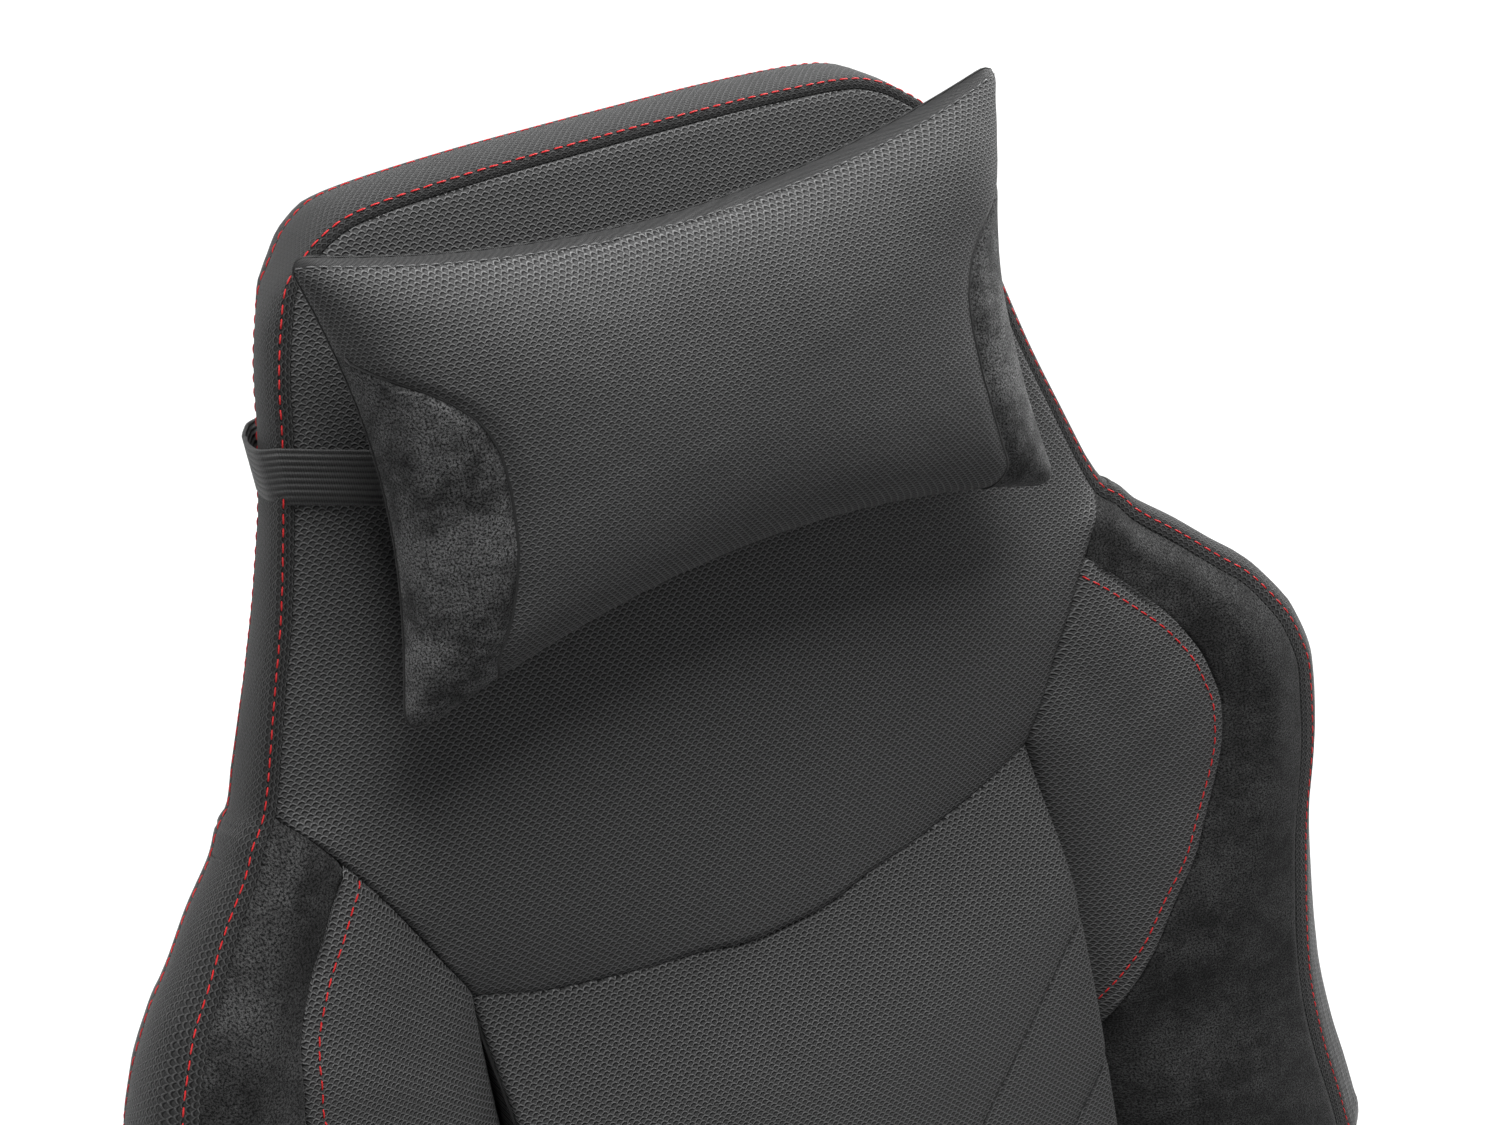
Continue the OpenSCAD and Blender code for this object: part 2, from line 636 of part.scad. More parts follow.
// A pawl in mesh with the ring; the cam leaves room for it to slide in
module lock_pawl(flip) {
    reach = atan(pawl_w / 2 / ring_root) - 1;
    a = 90 - floor(reach * ring_teeth / 360) * 360 / ring_teeth;
    b = 180 - a;
    color("darkgray") in_lock() rotate(flip)
        translate([0, 0, lock_base + 0.05]) linear_extrude(pawl_t - 0.2) intersection() {
            polygon(concat(
                [[pawl_w / 2, pawl_foot], [pawl_w / 2, 20]],
                polar([[ring_root - tooth_d - 0.8, a - 1]]),
                polar(teeth(ring_root - tooth_gap - 0.1, ring_root - tooth_d - tooth_gap, a, b)),
                [[-pawl_w / 2, 20], [-pawl_w / 2, pawl_foot]]));
            translate([-pawl_w / 2, 0]) square([pawl_w, 60]);
        }
}

// Rolled steel ring that keeps the two halves together
module lock_retainer() {
    color("silver") in_lock() rotate_extrude() polygon([
        [disc_r - 0.4, 0.02], [disc_r + 1.4, 0.02], [disc_r + 1.4, disc_t - 1.6],
        [disc_r - 2.4, disc_t - 1.6], [disc_r - 2.4, disc_t - 3], [disc_r - 0.4, disc_t - 3]]);
}

// Release shaft with the two-lobed cam, turned by the lever
module release_shaft() {
    lobes = [for (i = [0:71]) let(a = i * 5) (cam_r + cam_lift * pow(abs(sin(a)), 14)) * [cos(a), sin(a)]];
    color("silver") in_lock() {
        translate([0, 0, -steel_t - 1]) cylinder(r = hub_r, h = cover_out - disc_x + steel_t + 1 + lever_t);
        translate([0, 0, lock_base + 0.05]) linear_extrude(pawl_t - 0.2) polygon(lobes);
    }
}

// ---- the free hinge on the left-hand side, with its clock spring ----

spring_pin = [30, -22];

// Fixed pin: a shouldered stud with a slot that holds the spring's inner end
module hinge_pin() {
    color("silver") side_plane(disc_x) difference() {
        union() {
            translate([0, 0, -steel_t - 5]) cylinder(r = hub_r + 5, h = 5 - 0.02);
            translate([0, 0, -steel_t - 1]) cylinder(r = hub_r, h = steel_t + 1 + disc_t + steel_t + 1.5 + spring_strip + 2);
            translate([0, 0, 0.02]) cylinder(r = disc_r - 8, h = disc_t - steel_gap);
        }
        translate([-spring_t / 2 - 0.2, -hub_r - 1, disc_t + steel_t + 1])
            cube([spring_t + 0.4, 2 * hub_r + 2, spring_strip + 8]);
    }
}

// Flat strip wound outwards at an even pitch, from the slot to the hook pin
module clock_spring() {
    start = 90;
    in_r = hub_r + 1.2 + spring_t / 2;
    out_r = norm(spring_pin);
    pin_a = atan2(spring_pin[1], spring_pin[0]) - back_lean;
    sweep = 360 * spring_turns + pin_a - start - 6;
    steps = 18 * spring_turns;
    function strip(i, side) = let(a = start + sweep * i / steps)
        (mix(in_r, out_r, i / steps) + side * spring_t / 2) * [cos(a), sin(a)];
    half = spring_t / 2;
    color("#55555a") side_plane(arm_x + steel_t + 1.5) linear_extrude(spring_strip)
        polygon(concat(
            [[half, in_r + half], [half, 1 - hub_r], [-half, 1 - hub_r], [-half, in_r - half]],
            [for (i = [1:steps]) strip(i, -1)],
            [for (i = [steps:-1:0]) strip(i, 1)]));
}

// Hook pin on the left arm, that the spring's outer end pushes
module spring_hook() {
    color("silver") in_back() translate([arm_x + steel_t + 0.02, 0, 0]) rotate([90, 0, 90])
        translate([spring_pin[0], spring_pin[1], 0]) {
            cylinder(r = 3, h = spring_strip + 2.5);
            translate([0, 0, spring_strip + 2.5]) cylinder(r = 4.5, h = 1.5);
        }
}

// ---------- covers and lever ----------

cover_screw = [-136, tube_z - pivot_z + 22];

module cover_shape(inset) {
    link([0, 0], disc_r + 16 - inset, [-98, -48], 33 - inset);
    link([-98, -48], 32.4 - inset, [-186, -62], 29 - inset);
}

// Moulded side cover, a shallow dish open towards the plates
module cover(s) {
    color("#202022") mirror([s < 0 ? 1 : 0, 0, 0]) side_plane(cover_x) difference() {
        // stepped rim, softened towards the outer face
        for (rim = [[0, 5], [1.4, 2.2], [3.8, 0]])
            linear_extrude(cover_d - rim[1]) cover_shape(rim[0]);
        difference() {
            translate([0, 0, -1]) linear_extrude(cover_d - cover_wall - 2) cover_shape(cover_wall + 1);
            // screw post
            translate([cover_screw[0], cover_screw[1], -2]) cylinder(r = 6, h = cover_d);
        }
        translate([cover_screw[0], cover_screw[1], -2]) cylinder(r = 2.2, h = cover_d + 4);
        translate([cover_screw[0], cover_screw[1], cover_d - 3]) cylinder(r = 5, h = 6);
        if (s < 0) cylinder(r = hub_r + 2, h = 3 * cover_d);
    }
}

module cover_screws() {
    color("silver") for (s = [-1, 1]) mirror([s < 0 ? 1 : 0, 0, 0]) side_plane(cover_x)
        translate([cover_screw[0], cover_screw[1], 0]) {
            translate([0, 0, -steel_t]) cylinder(r = 2, h = cover_d);
            difference() {
                translate([0, 0, cover_d - 3]) cylinder(r = 4.4, h = 2.4);
                translate([0, 0, cover_d - 1.8]) cube([1, 7, 2.6], center = true);
                translate([0, 0, cover_d - 1.8]) cube([7, 1, 2.6], center = true);
            }
        }
}

lever_tip = [-lever_len, -26];

// Steel blade keyed to the shaft, running forwards beside the seat
module lever_blade() {
    color("#2b2b2e") mirror([1, 0, 0]) side_plane(cover_out + 1.5) difference() {
        linear_extrude(lever_t) {
            link([0, 0], 16, [-50, -8], 10);
            link([-50, -8], 9.6, lever_tip, 8);
        }
        translate([0, 0, -1]) cylinder(r = hub_r, h = lever_t + 2);
    }
}

// Hand grip moulded over the blade's end: a softened slab with finger scallops underneath
module lever_grip() {
    grip_len = 78;
    thick = 14;
    clear = 0.8;                            // air between the grip and the cover
    scallops = 4;
    dir = atan2(lever_tip[1] + 8, lever_tip[0] + 50);
    color("#151517") mirror([1, 0, 0]) side_plane(cover_out + clear)
        translate([lever_tip[0], lever_tip[1], 0]) rotate([0, 0, dir + 180]) difference() {
            for (rim = [[0, 3], [1.2, 1.2], [3, 0]])
                translate([0, 0, rim[1]]) linear_extrude(thick - 2 * rim[1])
                    link([0, 0], 13 - rim[0], [grip_len, 0], 10.5 - rim[0]);
            for (i = [0:scallops - 1])
                translate([6 + i * 17, 23, -1]) cylinder(r = 12.5, h = thick + 2);
            // the blade's pocket
            translate([-9, -10.2, 1.5 - clear - 0.1]) cube([grip_len + 40, 20.4, lever_t + 0.2]);
        }
}

// ---------- back frame ----------

frame_path = [
    [arm_tube_x, frame_foot], [arm_tube_x, flare_h - 25],
    [min(waist_w / 2 - 8, wing_w / 2 - 22, flare_w / 2 - 20), waist_h],
    [min(wing_w, waist_w + 40) / 2 - 40, wing_h - 30],
    [shoulder_w / 2 - 30, shoulder_h - 10], [head_w / 2 - 22, back_h - 46]];
frame_loop = concat(frame_path, [for (i = [len(frame_path) - 1:-1:0]) [-frame_path[i][0], frame_path[i][1]]]);

// Flat work in the back's own plane, n ahead of the recliner axis
module back_plane(n) {
    in_back() translate([0, -n, 0]) rotate([90, 0, 0]) children();
}

module back_frame() {
    color("dimgray") difference() {
        back_plane(frame_n) bent_tube(frame_loop);
        in_back() for (s = [-1, 1], h = arm_holes)
            translate([s * (arm_tube_x - 2 * tube_r), h[0], h[1]]) rotate([0, s * 90, 0])
                cylinder(d = bolt_d, h = 4 * tube_r);
    }
    // crush tubes for the arm bolts
    color("dimgray") in_back() for (s = [-1, 1], h = arm_holes)
        translate([s * (arm_tube_x + 5), h[0], h[1]]) rotate([0, s * 90, 0]) difference() {
            cylinder(d = bolt_d + 8, h = arm_x - arm_tube_x - 5 - 0.02);
            translate([0, 0, -1]) cylinder(d = bolt_d, h = 40);
        }
}

cross_heights = [frame_foot + 90, waist_h + 25, shoulder_h + 5];
function frame_x(v) = lookup(v, [for (p = frame_path) [p[1], p[0]]]);

// Cross tubes between the sides, coped to their round
module back_cross_tubes() {
    color("dimgray") back_plane(frame_n) difference() {
        for (v = cross_heights) translate([-frame_x(v), v, 0]) rotate([0, 90, 0]) difference() {
            cylinder(d = 16, h = 2 * frame_x(v));
            translate([0, 0, -1]) cylinder(d = 13, h = 2 * frame_x(v) + 2);
        }
        bent_bar(frame_loop, tube_r + 0.05, bend_r);
    }
}

// Elastic webbing across the front of the frame
module back_webbing() {
    color("black") for (v = [frame_foot + 40, frame_foot + 145, waist_h - 20, waist_h + 75, wing_h - 10, shoulder_h - 45])
        back_plane(frame_n) translate([-frame_x(v) - 4, v - 20, tube_r + 0.15])
            cube([2 * frame_x(v) + 8, 40, back_strap_t]);
}

// Wire hoop that carries a wing's foam forward of the frame, between the frame and the band
module wing_hoop(s) {
    low = flare_h + 10;
    high = wing_h - 66;
    reach = wing_n - wing_pad_t - hoop_d / 2 - 5;
    heights = [for (i = [0:16]) mix(low - 10, high + 10, i / 16)];
    inner = max([for (v = heights) frame_x(v)]) + tube_r + hoop_d / 2;
    outer = min([for (v = heights, share = [0.45, 0.7]) band_inner(v, share)]) - hoop_d / 2;
    color("dimgray") mirror([s < 0 ? 1 : 0, 0, 0]) in_back()
        translate([mix(inner, outer, 0.33), 0, 0]) rotate([90, 0, 90])
            bent_bar([[9, low - 6], [-reach, low - 6], [-reach, high + 6], [9, high + 6]], hoop_d / 2, 16, false);
}

// ---------- back cushions ----------

back_strap_t = 1.6;                          // webbing of the back
wing_pad_t = 40;                             // foam of a wing at its front edge
pad_rear = frame_n + tube_r + 0.15 + back_strap_t + 0.25; // back faces of the pads, on the webbing

// Upper panel, from the block's dipped seam up to the rounded head
module upper_panel() {
    cols = 12;
    low = block_top + 1;
    high = back_h - 9 - band_t - cloth_gap;
    inside = [for (i = [len(edge_smooth) - 1:-1:0]) let(v = edge_smooth[i][1]) if (v > low + 8 && v < high - 2) v];
    vs = concat([low, mix(low, inside[0], 0.5)], inside, [high]);
    function half(v) = v < shoulder_h - 1 ? seam_x(v) - cloth_gap / 2 - 0.6
        : min(edge_x(v) - band_t - cloth_gap, edge_x(v + band_t + cloth_gap) - cloth_gap);
    function top(v) = v < shoulder_h ? face_n + 0.5 * (seam_n(v) - face_n) : face_n;
    color("#34343a") in_back() loft([for (v = vs) let(h = half(v))
        concat(
            [for (j = [0:cols]) let(u = mix(-1, 1, j / cols),
                dip = block_dip * (1 - u * u) * clamp01(1 - (v - low) / 120))
                back_point(u * h, v - dip,
                    top(v) - 3 + upper_crown * (1 - pow(abs(u), 2.5)) * clamp01(0.3 + (v - low) / 60) * clamp01(0.25 + (high - v) / 40))],
            let(rear_v = v + 10 * clamp01(1 - (v - low) / 60)) [
                back_point(h, rear_v, pad_rear),
                back_point(0, rear_v - block_dip * clamp01(1 - (v - low) / 120), pad_rear),
                back_point(-h, rear_v, pad_rear)])], true);
}

// Lumbar block, crowned and quilted in chevrons, standing proud of the wings' roots
function block_n(x, v) = let(
    half = block_w / 2,
    dip = block_dip * (1 - pow(x / half, 2)),
    from_top = block_top - dip - v,
    rise = 14 * ease(from_top / 70) + block_crown * sin(90 * clamp01(from_top / 170)) * 0.6,
    foot = arc_drop(clamp01((foot_h + 70 - v) / 70)) * 20,
    side = 5 * arc_drop(clamp01((abs(x) - half + 10) / 10)),
    crown = 5 * (1 - pow(x / half, 2)))
    face_n - 2 + rise + crown - foot - side - channel(x, v, quilt_top, 0) * clamp01(from_top / 30);

module lumbar_block() {
    cols = 12;
    half = block_w / 2 - 0.6;
    low = foot_h + 6;
    rows = quilt_rows(low, block_top, half, quilt_top);
    function high(x) = block_top - 1 - block_dip * (1 - pow(x / half, 2));
    color("#34343a") in_back() loft([for (r = rows) concat(
        [for (j = [0:cols]) let(x = mix(-half, half, j / cols), v = on_row(r, x, low, high(x)))
            back_point(x, v, block_n(x, v))],
        [for (x = [half, 0, -half]) back_point(x, on_row(r, x, low, high(x) - 10), pad_rear)])], true);
}

// A wing: leaves the root beside the block, climbs to its flat face and ends at the front edge
function wing_face(x, v, root, tip) = let(
    t = clamp01((x - root) / (tip - root)),
    climb = pow(sin(90 * clamp01(t / 0.66)), 1.15))
    mix(seam_n(v), edge_n(v) - 1, climb);

module wing(s) {
    cols = 7;
    foot = foot_h + 14;
    high = shoulder_h - 6;
    vs = concat([high], [for (p = edge_smooth) if (p[1] < high && p[1] > foot) p[1]], [foot]);
    color("#1f1f23") mirror([s < 0 ? 1 : 0, 0, 0]) in_back() loft([for (i = [len(vs) - 1:-1:0]) let(
        v = vs[i],
        root = seam_x(v) + cloth_gap,
        tip = max(edge_x(v) - 2, root + 2),
        depth = edge_n(v) + rear_n,
        deep = max(pad_rear, edge_n(v) - wing_pad_t),
        last = (edge_n(v) - deep) / depth)
        concat(
            [for (j = [0:cols]) let(x = mix(root, tip, j / cols)) back_point(x, v, wing_face(x, v, root, tip))],
            [for (share = [band_lip[1], mix(0.12, last, 0.3), last])
                back_point(band_inner(v, share) - 2.6, v, edge_n(v) - share * depth)],
            [back_point(mix(root, tip, 0.62), v, max(pad_rear, deep - 4)),
                back_point(root, v, pad_rear)])]);
}

// Section of the padded band, front edge to rear seam: share of its bulge, share of its depth.
// Above the waist its rear is drawn in more
function band_curve(v) = let(t = clamp01((v - waist_h - 50) / 60))
    [[mix(0.62, 0.78, t), 0.14], [1, 0.42], [mix(0.98, 0.7, t), 0.7], [mix(0.6, 0, t), 1]];
band_lip = [0.4 - band_t, 0.06];
function band_inner(v, share) = edge_x(v)
    + lookup(share, concat([[band_lip[1], band_lip[0]]],
        [for (p = band_curve(v)) [p[1] + 0.03 - 0.06 * p[1], p[0] * edge_out(v) - band_t]]));

// Padded band round the sides, between the front edge and the rear cover
function band_ring(e, s) = let(
    top = clamp01((e[1] - back_h + 40) / 30),
    foot = clamp01((foot_h + 12 - e[1]) / 10),
    dx = s * (1 - max(top, foot)),
    dv = top - foot,
    out = e[3],
    deep = e[2] + rear_n,
    section = band_curve(e[1]),
    last = len(section) - 1)
    [for (p = concat([[0, 0]], [for (p = section) [p[0] * out, p[1]]],
        [for (i = [last:-1:0]) let(p = section[i]) [p[0] * out - band_t, p[1] + 0.03 - 0.06 * p[1]]],
        [band_lip]))
        back_point(s * e[0] + p[0] * dx, e[1] + p[0] * dv, e[2] - p[1] * deep)];

module side_band() {
    half = curve(edge, 2);
    n = len(half);
    right = [for (i = [0:n - 1]) band_ring(half[i], 1)];
    left = [for (i = [n - 2:-1:1]) band_ring(half[i], -1)];
    color("#2a2a2e") in_back() difference() {
        hoop_loft(concat(right, left));
        // holes for the frame's crush tubes
        for (s = [-1, 1], h = arm_holes)
            translate([s * arm_tube_x, h[0], h[1]]) rotate([0, s * 90, 0]) cylinder(d = bolt_d + 9, h = 40, $fn = 16);
    }
}

// Flat rear cover, sewn inside the band
module rear_cover() {
    rear_cover_t = 3;
    inset = band_t + 0.5;
    half = [for (e = curve(edge, 2)) let(
        top = clamp01((e[1] - back_h + 40) / 30),
        foot = clamp01((foot_h + 12 - e[1]) / 10),
        rear_out = band_curve(e[1])[3][0])
        [max(0, e[0] + (rear_out * e[3] - inset) * (1 - max(top, foot))), e[1] + (rear_out * e[3] - inset) * (top - foot)]];
    n = len(half);
    color("#2a2a2e") back_plane(-rear_n + 0.2) linear_extrude(rear_cover_t)
        polygon(concat([for (p = half) p], [for (i = [n - 2:-1:1]) [-half[i][0], half[i][1]]]));
}

// ---------- head pillow ----------

pillow_rear = face_n + upper_crown - 3 + 2;

// Crowned cushion with drawn-in sides, deepest a little below its middle
module head_pillow() {
    cols = 12;
    rows = 20;
    color("#303036") in_back() loft([for (i = [0:rows]) let(
        t = i / rows,
        half0 = pillow_w / 2 * (1 - 0.09 * sin(180 * t)))
        concat(
            [for (j = [0:cols]) pillow_point(mix(-1, 1, j / cols), t, half0, 1)],
            [for (j = [cols - 1:-1:1]) if (j % 2 == 0) pillow_point(mix(-1, 1, j / cols), t, half0, -1)])]);
}

function pillow_point(u, t, half, side) = let(
    low = pillow_foot + 22 * (1 - u * u),
    high = pillow_foot + pillow_h - 24 * (1 - u * u),
    swell = pow(clamp01(1 - pow(abs(u), 3.2)), 0.6) * pow(clamp01(1 - pow(abs(2 * t - 1), 2.6)), 0.6),
    mid = pillow_rear + 0.42 * pillow_t)
    back_point(u * half, mix(low, high, t),
        side > 0 ? mid + 1 + 0.55 * pillow_t * swell : mid - (0.42 * pillow_t - 0.5) * swell);

// Elastic strap, a loop round the head of the back
strap_v = shoulder_h + 115;
function strap_side(grow) = let(
    v = strap_v - strap_w / 2,
    off = cloth_gap + 0.6 + grow,
    deep = edge_n(v) + rear_n)
    concat([[edge_x(v) - 8, grow + 1.2 - pillow_rear], [edge_x(v) + off, -edge_n(v) - off / 2]],
        [for (p = band_curve(v)) [edge_x(v) + p[0] * edge_out(v) + off, p[1] * deep - edge_n(v)]],
        [[edge_x(v) + band_curve(v)[3][0] * edge_out(v) + off / 3, rear_n + off]]);

module mirrored_polygon(side) {
    n = len(side);
    polygon(concat(side, [for (i = [n - 1:-1:0]) [-side[i][0], side[i][1]]]));
}

module pillow_strap() {
    color("black") in_back() translate([0, 0, strap_v - strap_w / 2])
        linear_extrude(strap_w) difference() {
            mirrored_polygon(strap_side(strap_t));
            mirrored_polygon(strap_side(0));
        }
}

// ---------- drawing ----------

seat_frame();
base_plates();
base_nuts();
seat_webbing();
seat_foam();
seat_cushion();
seat_bolster(1);  // seat_bolster_left
seat_bolster(-1);  // seat_bolster_right
dust_cover();
bracket(1);  // bracket_left
bracket(-1);  // bracket_right
bracket_bolts();
hinge_pin();
lock_guide();
lock_pawl(0);  // lock_pawl_upper
lock_pawl(180);  // lock_pawl_lower
lock_retainer();
clock_spring();
cover(1);  // cover_left
cover(-1);  // cover_right
cover_screws();
back_frame();
back_cross_tubes();
back_webbing();
wing_hoop(1);  // wing_hoop_left
wing_hoop(-1);  // wing_hoop_right
upper_panel();
lumbar_block();
wing(1);  // wing_left
wing(-1);  // wing_right
side_band();
rear_cover();
arm(1);  // arm_left
arm(-1);  // arm_right
arm_bolts();
lock_ring();
spring_hook();
release_shaft();
lever_blade();
lever_grip();
head_pillow();
pillow_strap();
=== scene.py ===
# %% [markdown]
# # Racing-style seat unit
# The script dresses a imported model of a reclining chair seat: a winged back with a strapped
# head pillow, a bolstered seat and the steel and plastic between them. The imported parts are
# loaded first and never moved. Soft parts are rebuilt as sewn cushions over them, and the
# hard parts keep their shape and get a finish.

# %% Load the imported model
import json
import math
import random

import bmesh
import bpy
import mathutils
import numpy as np
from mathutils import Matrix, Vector


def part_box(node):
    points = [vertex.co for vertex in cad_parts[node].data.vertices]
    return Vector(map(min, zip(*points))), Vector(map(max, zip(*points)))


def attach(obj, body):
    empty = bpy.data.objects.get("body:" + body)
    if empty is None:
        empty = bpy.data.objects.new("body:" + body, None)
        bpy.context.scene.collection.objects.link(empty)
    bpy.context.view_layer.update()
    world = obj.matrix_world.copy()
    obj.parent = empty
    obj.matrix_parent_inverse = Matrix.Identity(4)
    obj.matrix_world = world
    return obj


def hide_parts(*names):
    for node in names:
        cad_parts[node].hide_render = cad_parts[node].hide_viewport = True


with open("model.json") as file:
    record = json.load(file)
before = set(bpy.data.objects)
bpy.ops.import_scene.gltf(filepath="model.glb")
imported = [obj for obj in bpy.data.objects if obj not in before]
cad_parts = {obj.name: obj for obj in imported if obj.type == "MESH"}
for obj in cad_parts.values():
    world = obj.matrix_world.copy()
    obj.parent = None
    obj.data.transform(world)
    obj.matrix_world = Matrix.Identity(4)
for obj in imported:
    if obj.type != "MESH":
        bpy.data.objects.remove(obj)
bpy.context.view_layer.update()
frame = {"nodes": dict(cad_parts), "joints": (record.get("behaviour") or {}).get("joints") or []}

nodes = frame["nodes"]
joints = {j["name"]: j for j in frame["joints"]}
MM = 0.001
rng = random.Random(7)

# %% [markdown]
# The back leans, so its pieces are drawn in its own space: x across, v up along the back and
# n ahead of it, all in millimetres and counted from the recliner axis. The axis and the lean
# come from the joints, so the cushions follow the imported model.

# %% The back's own space
axis_at = np.array(joints["back_recline"]["pos_m"])
along = np.array(joints["pillow_slide"]["axis"])
along = along / np.linalg.norm(along)
ahead = np.array([0.0, -along[2], along[1]])
across = np.array([1.0, 0.0, 0.0])
print("the back leans by", round(math.degrees(math.atan2(along[1], along[2])), 1), "degrees")


def back_world(points):
    """Turns (x, v, n) in millimetres into places in metres."""
    p = np.asarray(points, float)
    return axis_at + MM * (p[..., :1] * across + p[..., 1:2] * along + p[..., 2:3] * ahead)


def mesh_points(mesh):
    """A mesh's points as an array of places."""
    place = np.empty(len(mesh.vertices) * 3)
    mesh.vertices.foreach_get("co", place)
    return place.reshape(-1, 3)


def back_points(piece):
    """A piece's points in the back's own space, in millimetres."""
    return (mesh_points(piece.data) - axis_at) @ np.stack([across, along, ahead], axis=1) / MM


# %% [markdown]
# The camera stands a little above the head of the back and to the viewer's left, with a 50 mm
# lens, and looks down at the shoulder seams.

# %% Camera
LENS = 50.0
TURN = math.radians(32.59)
TILT = math.radians(36.867)
AIM = np.array([0.0, 550.0, 25.0])          # middle of the shoulder seam line
STAND_OFF = np.array([-0.3587, -0.5789, 0.5510])

camera_data = bpy.data.cameras.new("camera")
camera_data.lens = LENS
camera_data.sensor_width = 36.0
camera_data.clip_end = 50.0
camera = bpy.data.objects.new("camera", camera_data)
bpy.context.scene.collection.objects.link(camera)
camera.location = Vector(back_world(AIM) + STAND_OFF)
camera.rotation_euler = (math.pi / 2 - TILT, 0.0, -TURN)
bpy.context.scene.camera = camera
print("camera at", [round(c, 3) for c in camera.location], "m")

# %% [markdown]
# Most cushions here are sewn from flat panels. Sculpting them would lose the seam lines, so they
# are built as surfaces between smooth edge curves. `smooth` runs a curve through given points,
# `even` spaces points along it, `patch` fills four curves with a grid, `roll_edges` tucks the grid
# down into its seams, and `film` swells it like a blown-up skin.

# %% Curves and patches
def smooth(points, steps=12):
    """A Catmull-Rom curve through the given points."""
    p = np.asarray(points, float)
    p = np.vstack([2 * p[0] - p[1], p, 2 * p[-1] - p[-2]])
    t = np.linspace(0, 1, steps, endpoint=False)[:, None]
    parts = []
    for a, b, c, d in zip(p[:-3], p[1:-2], p[2:-1], p[3:]):
        parts.append(0.5 * (2 * b + (c - a) * t + (2 * a - 5 * b + 4 * c - d) * t ** 2
                            + (3 * b - a - 3 * c + d) * t ** 3))
    return np.vstack(parts + [p[-2:-1]])


def run_lengths(curve):
    """How far along a curve each of its points is."""
    return np.concatenate([[0], np.cumsum(np.linalg.norm(np.diff(curve, axis=0), axis=1))])


def at_lengths(curve, run, at):
    """The places at given lengths along a curve."""
    return np.stack([np.interp(at, run, curve[:, k]) for k in range(curve.shape[1])], axis=1)


def even(curve, count):
    """Points spaced evenly along a curve."""
    run = run_lengths(curve)
    return at_lengths(curve, run, np.linspace(0, run[-1], count))


def patch(low, high, left, right, cols, rows):
    """A grid between four edge curves; low and high run left to right."""
    u = np.linspace(0, 1, cols + 1)[None, :, None]
    w = np.linspace(0, 1, rows + 1)[:, None, None]
    low, high = even(low, cols + 1)[None], even(high, cols + 1)[None]
    left, right = even(left, rows + 1)[:, None], even(right, rows + 1)[:, None]
    corners = ((1 - u) * (1 - w) * low[:, :1] + u * (1 - w) * low[:, -1:]
               + (1 - u) * w * high[:, :1] + u * w * high[:, -1:])
    return (1 - w) * low + w * high + (1 - u) * left + u * right - corners


def border(grid):
    """The grid's outer loop of points, or of point numbers, in order."""
    return np.concatenate([grid[0, :-1], grid[:-1, -1], grid[-1, :0:-1], grid[:0:-1, 0]])


def edge_distance(grid, loop=None):
    """How far each grid point is from the panel's edge, in millimetres."""
    loop = border(grid) if loop is None else loop
    flat = grid.reshape(-1, 3)[:, None, :2]
    best = np.full(len(flat), 1e9)
    for start in range(0, len(loop), 200):
        part = loop[None, start:start + 200, :2]
        best = np.minimum(best, np.linalg.norm(flat - part, axis=2).min(axis=1))
    return best.reshape(grid.shape[:2])


def roll_edges(grid, radius, depth):
    """Rounds a panel's rim down into its seams, like a quarter circle."""
    t = np.clip(edge_distance(grid) / radius, 0, 1)
    grid[..., 2] -= depth * (1 - np.sqrt(1 - (1 - t) ** 2))
    return grid


def relax(field, push=0.0, rounds=350):
    """Evens a grid's inner values out like a stretched film; push lifts it."""
    f = np.array(field, float)
    odd = np.add.outer(np.arange(f.shape[0]), np.arange(f.shape[1]))[1:-1, 1:-1] % 2
    gain = 2 / (1 + math.sin(math.pi / max(f.shape)))
    for _ in range(rounds):
        for colour in (0, 1):
            wanted = (f[:-2, 1:-1] + f[2:, 1:-1] + f[1:-1, :-2] + f[1:-1, 2:] + push) / 4
            f[1:-1, 1:-1] += np.where(odd == colour, gain * (wanted - f[1:-1, 1:-1]), 0)
    return f


def film(shape):
    """A blown-up film over a grid: 0 at its edge, 1 at its highest point."""
    f = relax(np.zeros(shape), 1.0)
    return f / f.max()


# %% [markdown]
# Knitted cloth needs a pattern that follows the surface. Each panel gets a UV map in which one
# unit is 100 mm of cloth, so the same material has the same scale on every piece.

# %% Meshes with cloth coordinates
CLOTH_UNIT = 100.0


def cloth_uv(grid, unroll=False):
    """Lengths across the cloth, and heights up it or, unrolled, lengths up it too."""
    step_u = np.linalg.norm(np.diff(grid[..., [0, 2]], axis=1), axis=2)
    step_v = np.linalg.norm(np.diff(grid[..., [1, 2]], axis=0), axis=2)
    u = np.concatenate([np.zeros((len(grid), 1)), np.cumsum(step_u, axis=1)], axis=1)
    v = np.concatenate([np.zeros((1, grid.shape[1])), np.cumsum(step_v, axis=0)], axis=0)
    middle = grid.shape[1] // 2
    u = u - u[:, middle:middle + 1] + grid[:, middle:middle + 1, 0]
    v = v - v[:1] + grid[:1, :, 1] if unroll else grid[..., 1]
    return np.stack([u, v], axis=2) / CLOTH_UNIT


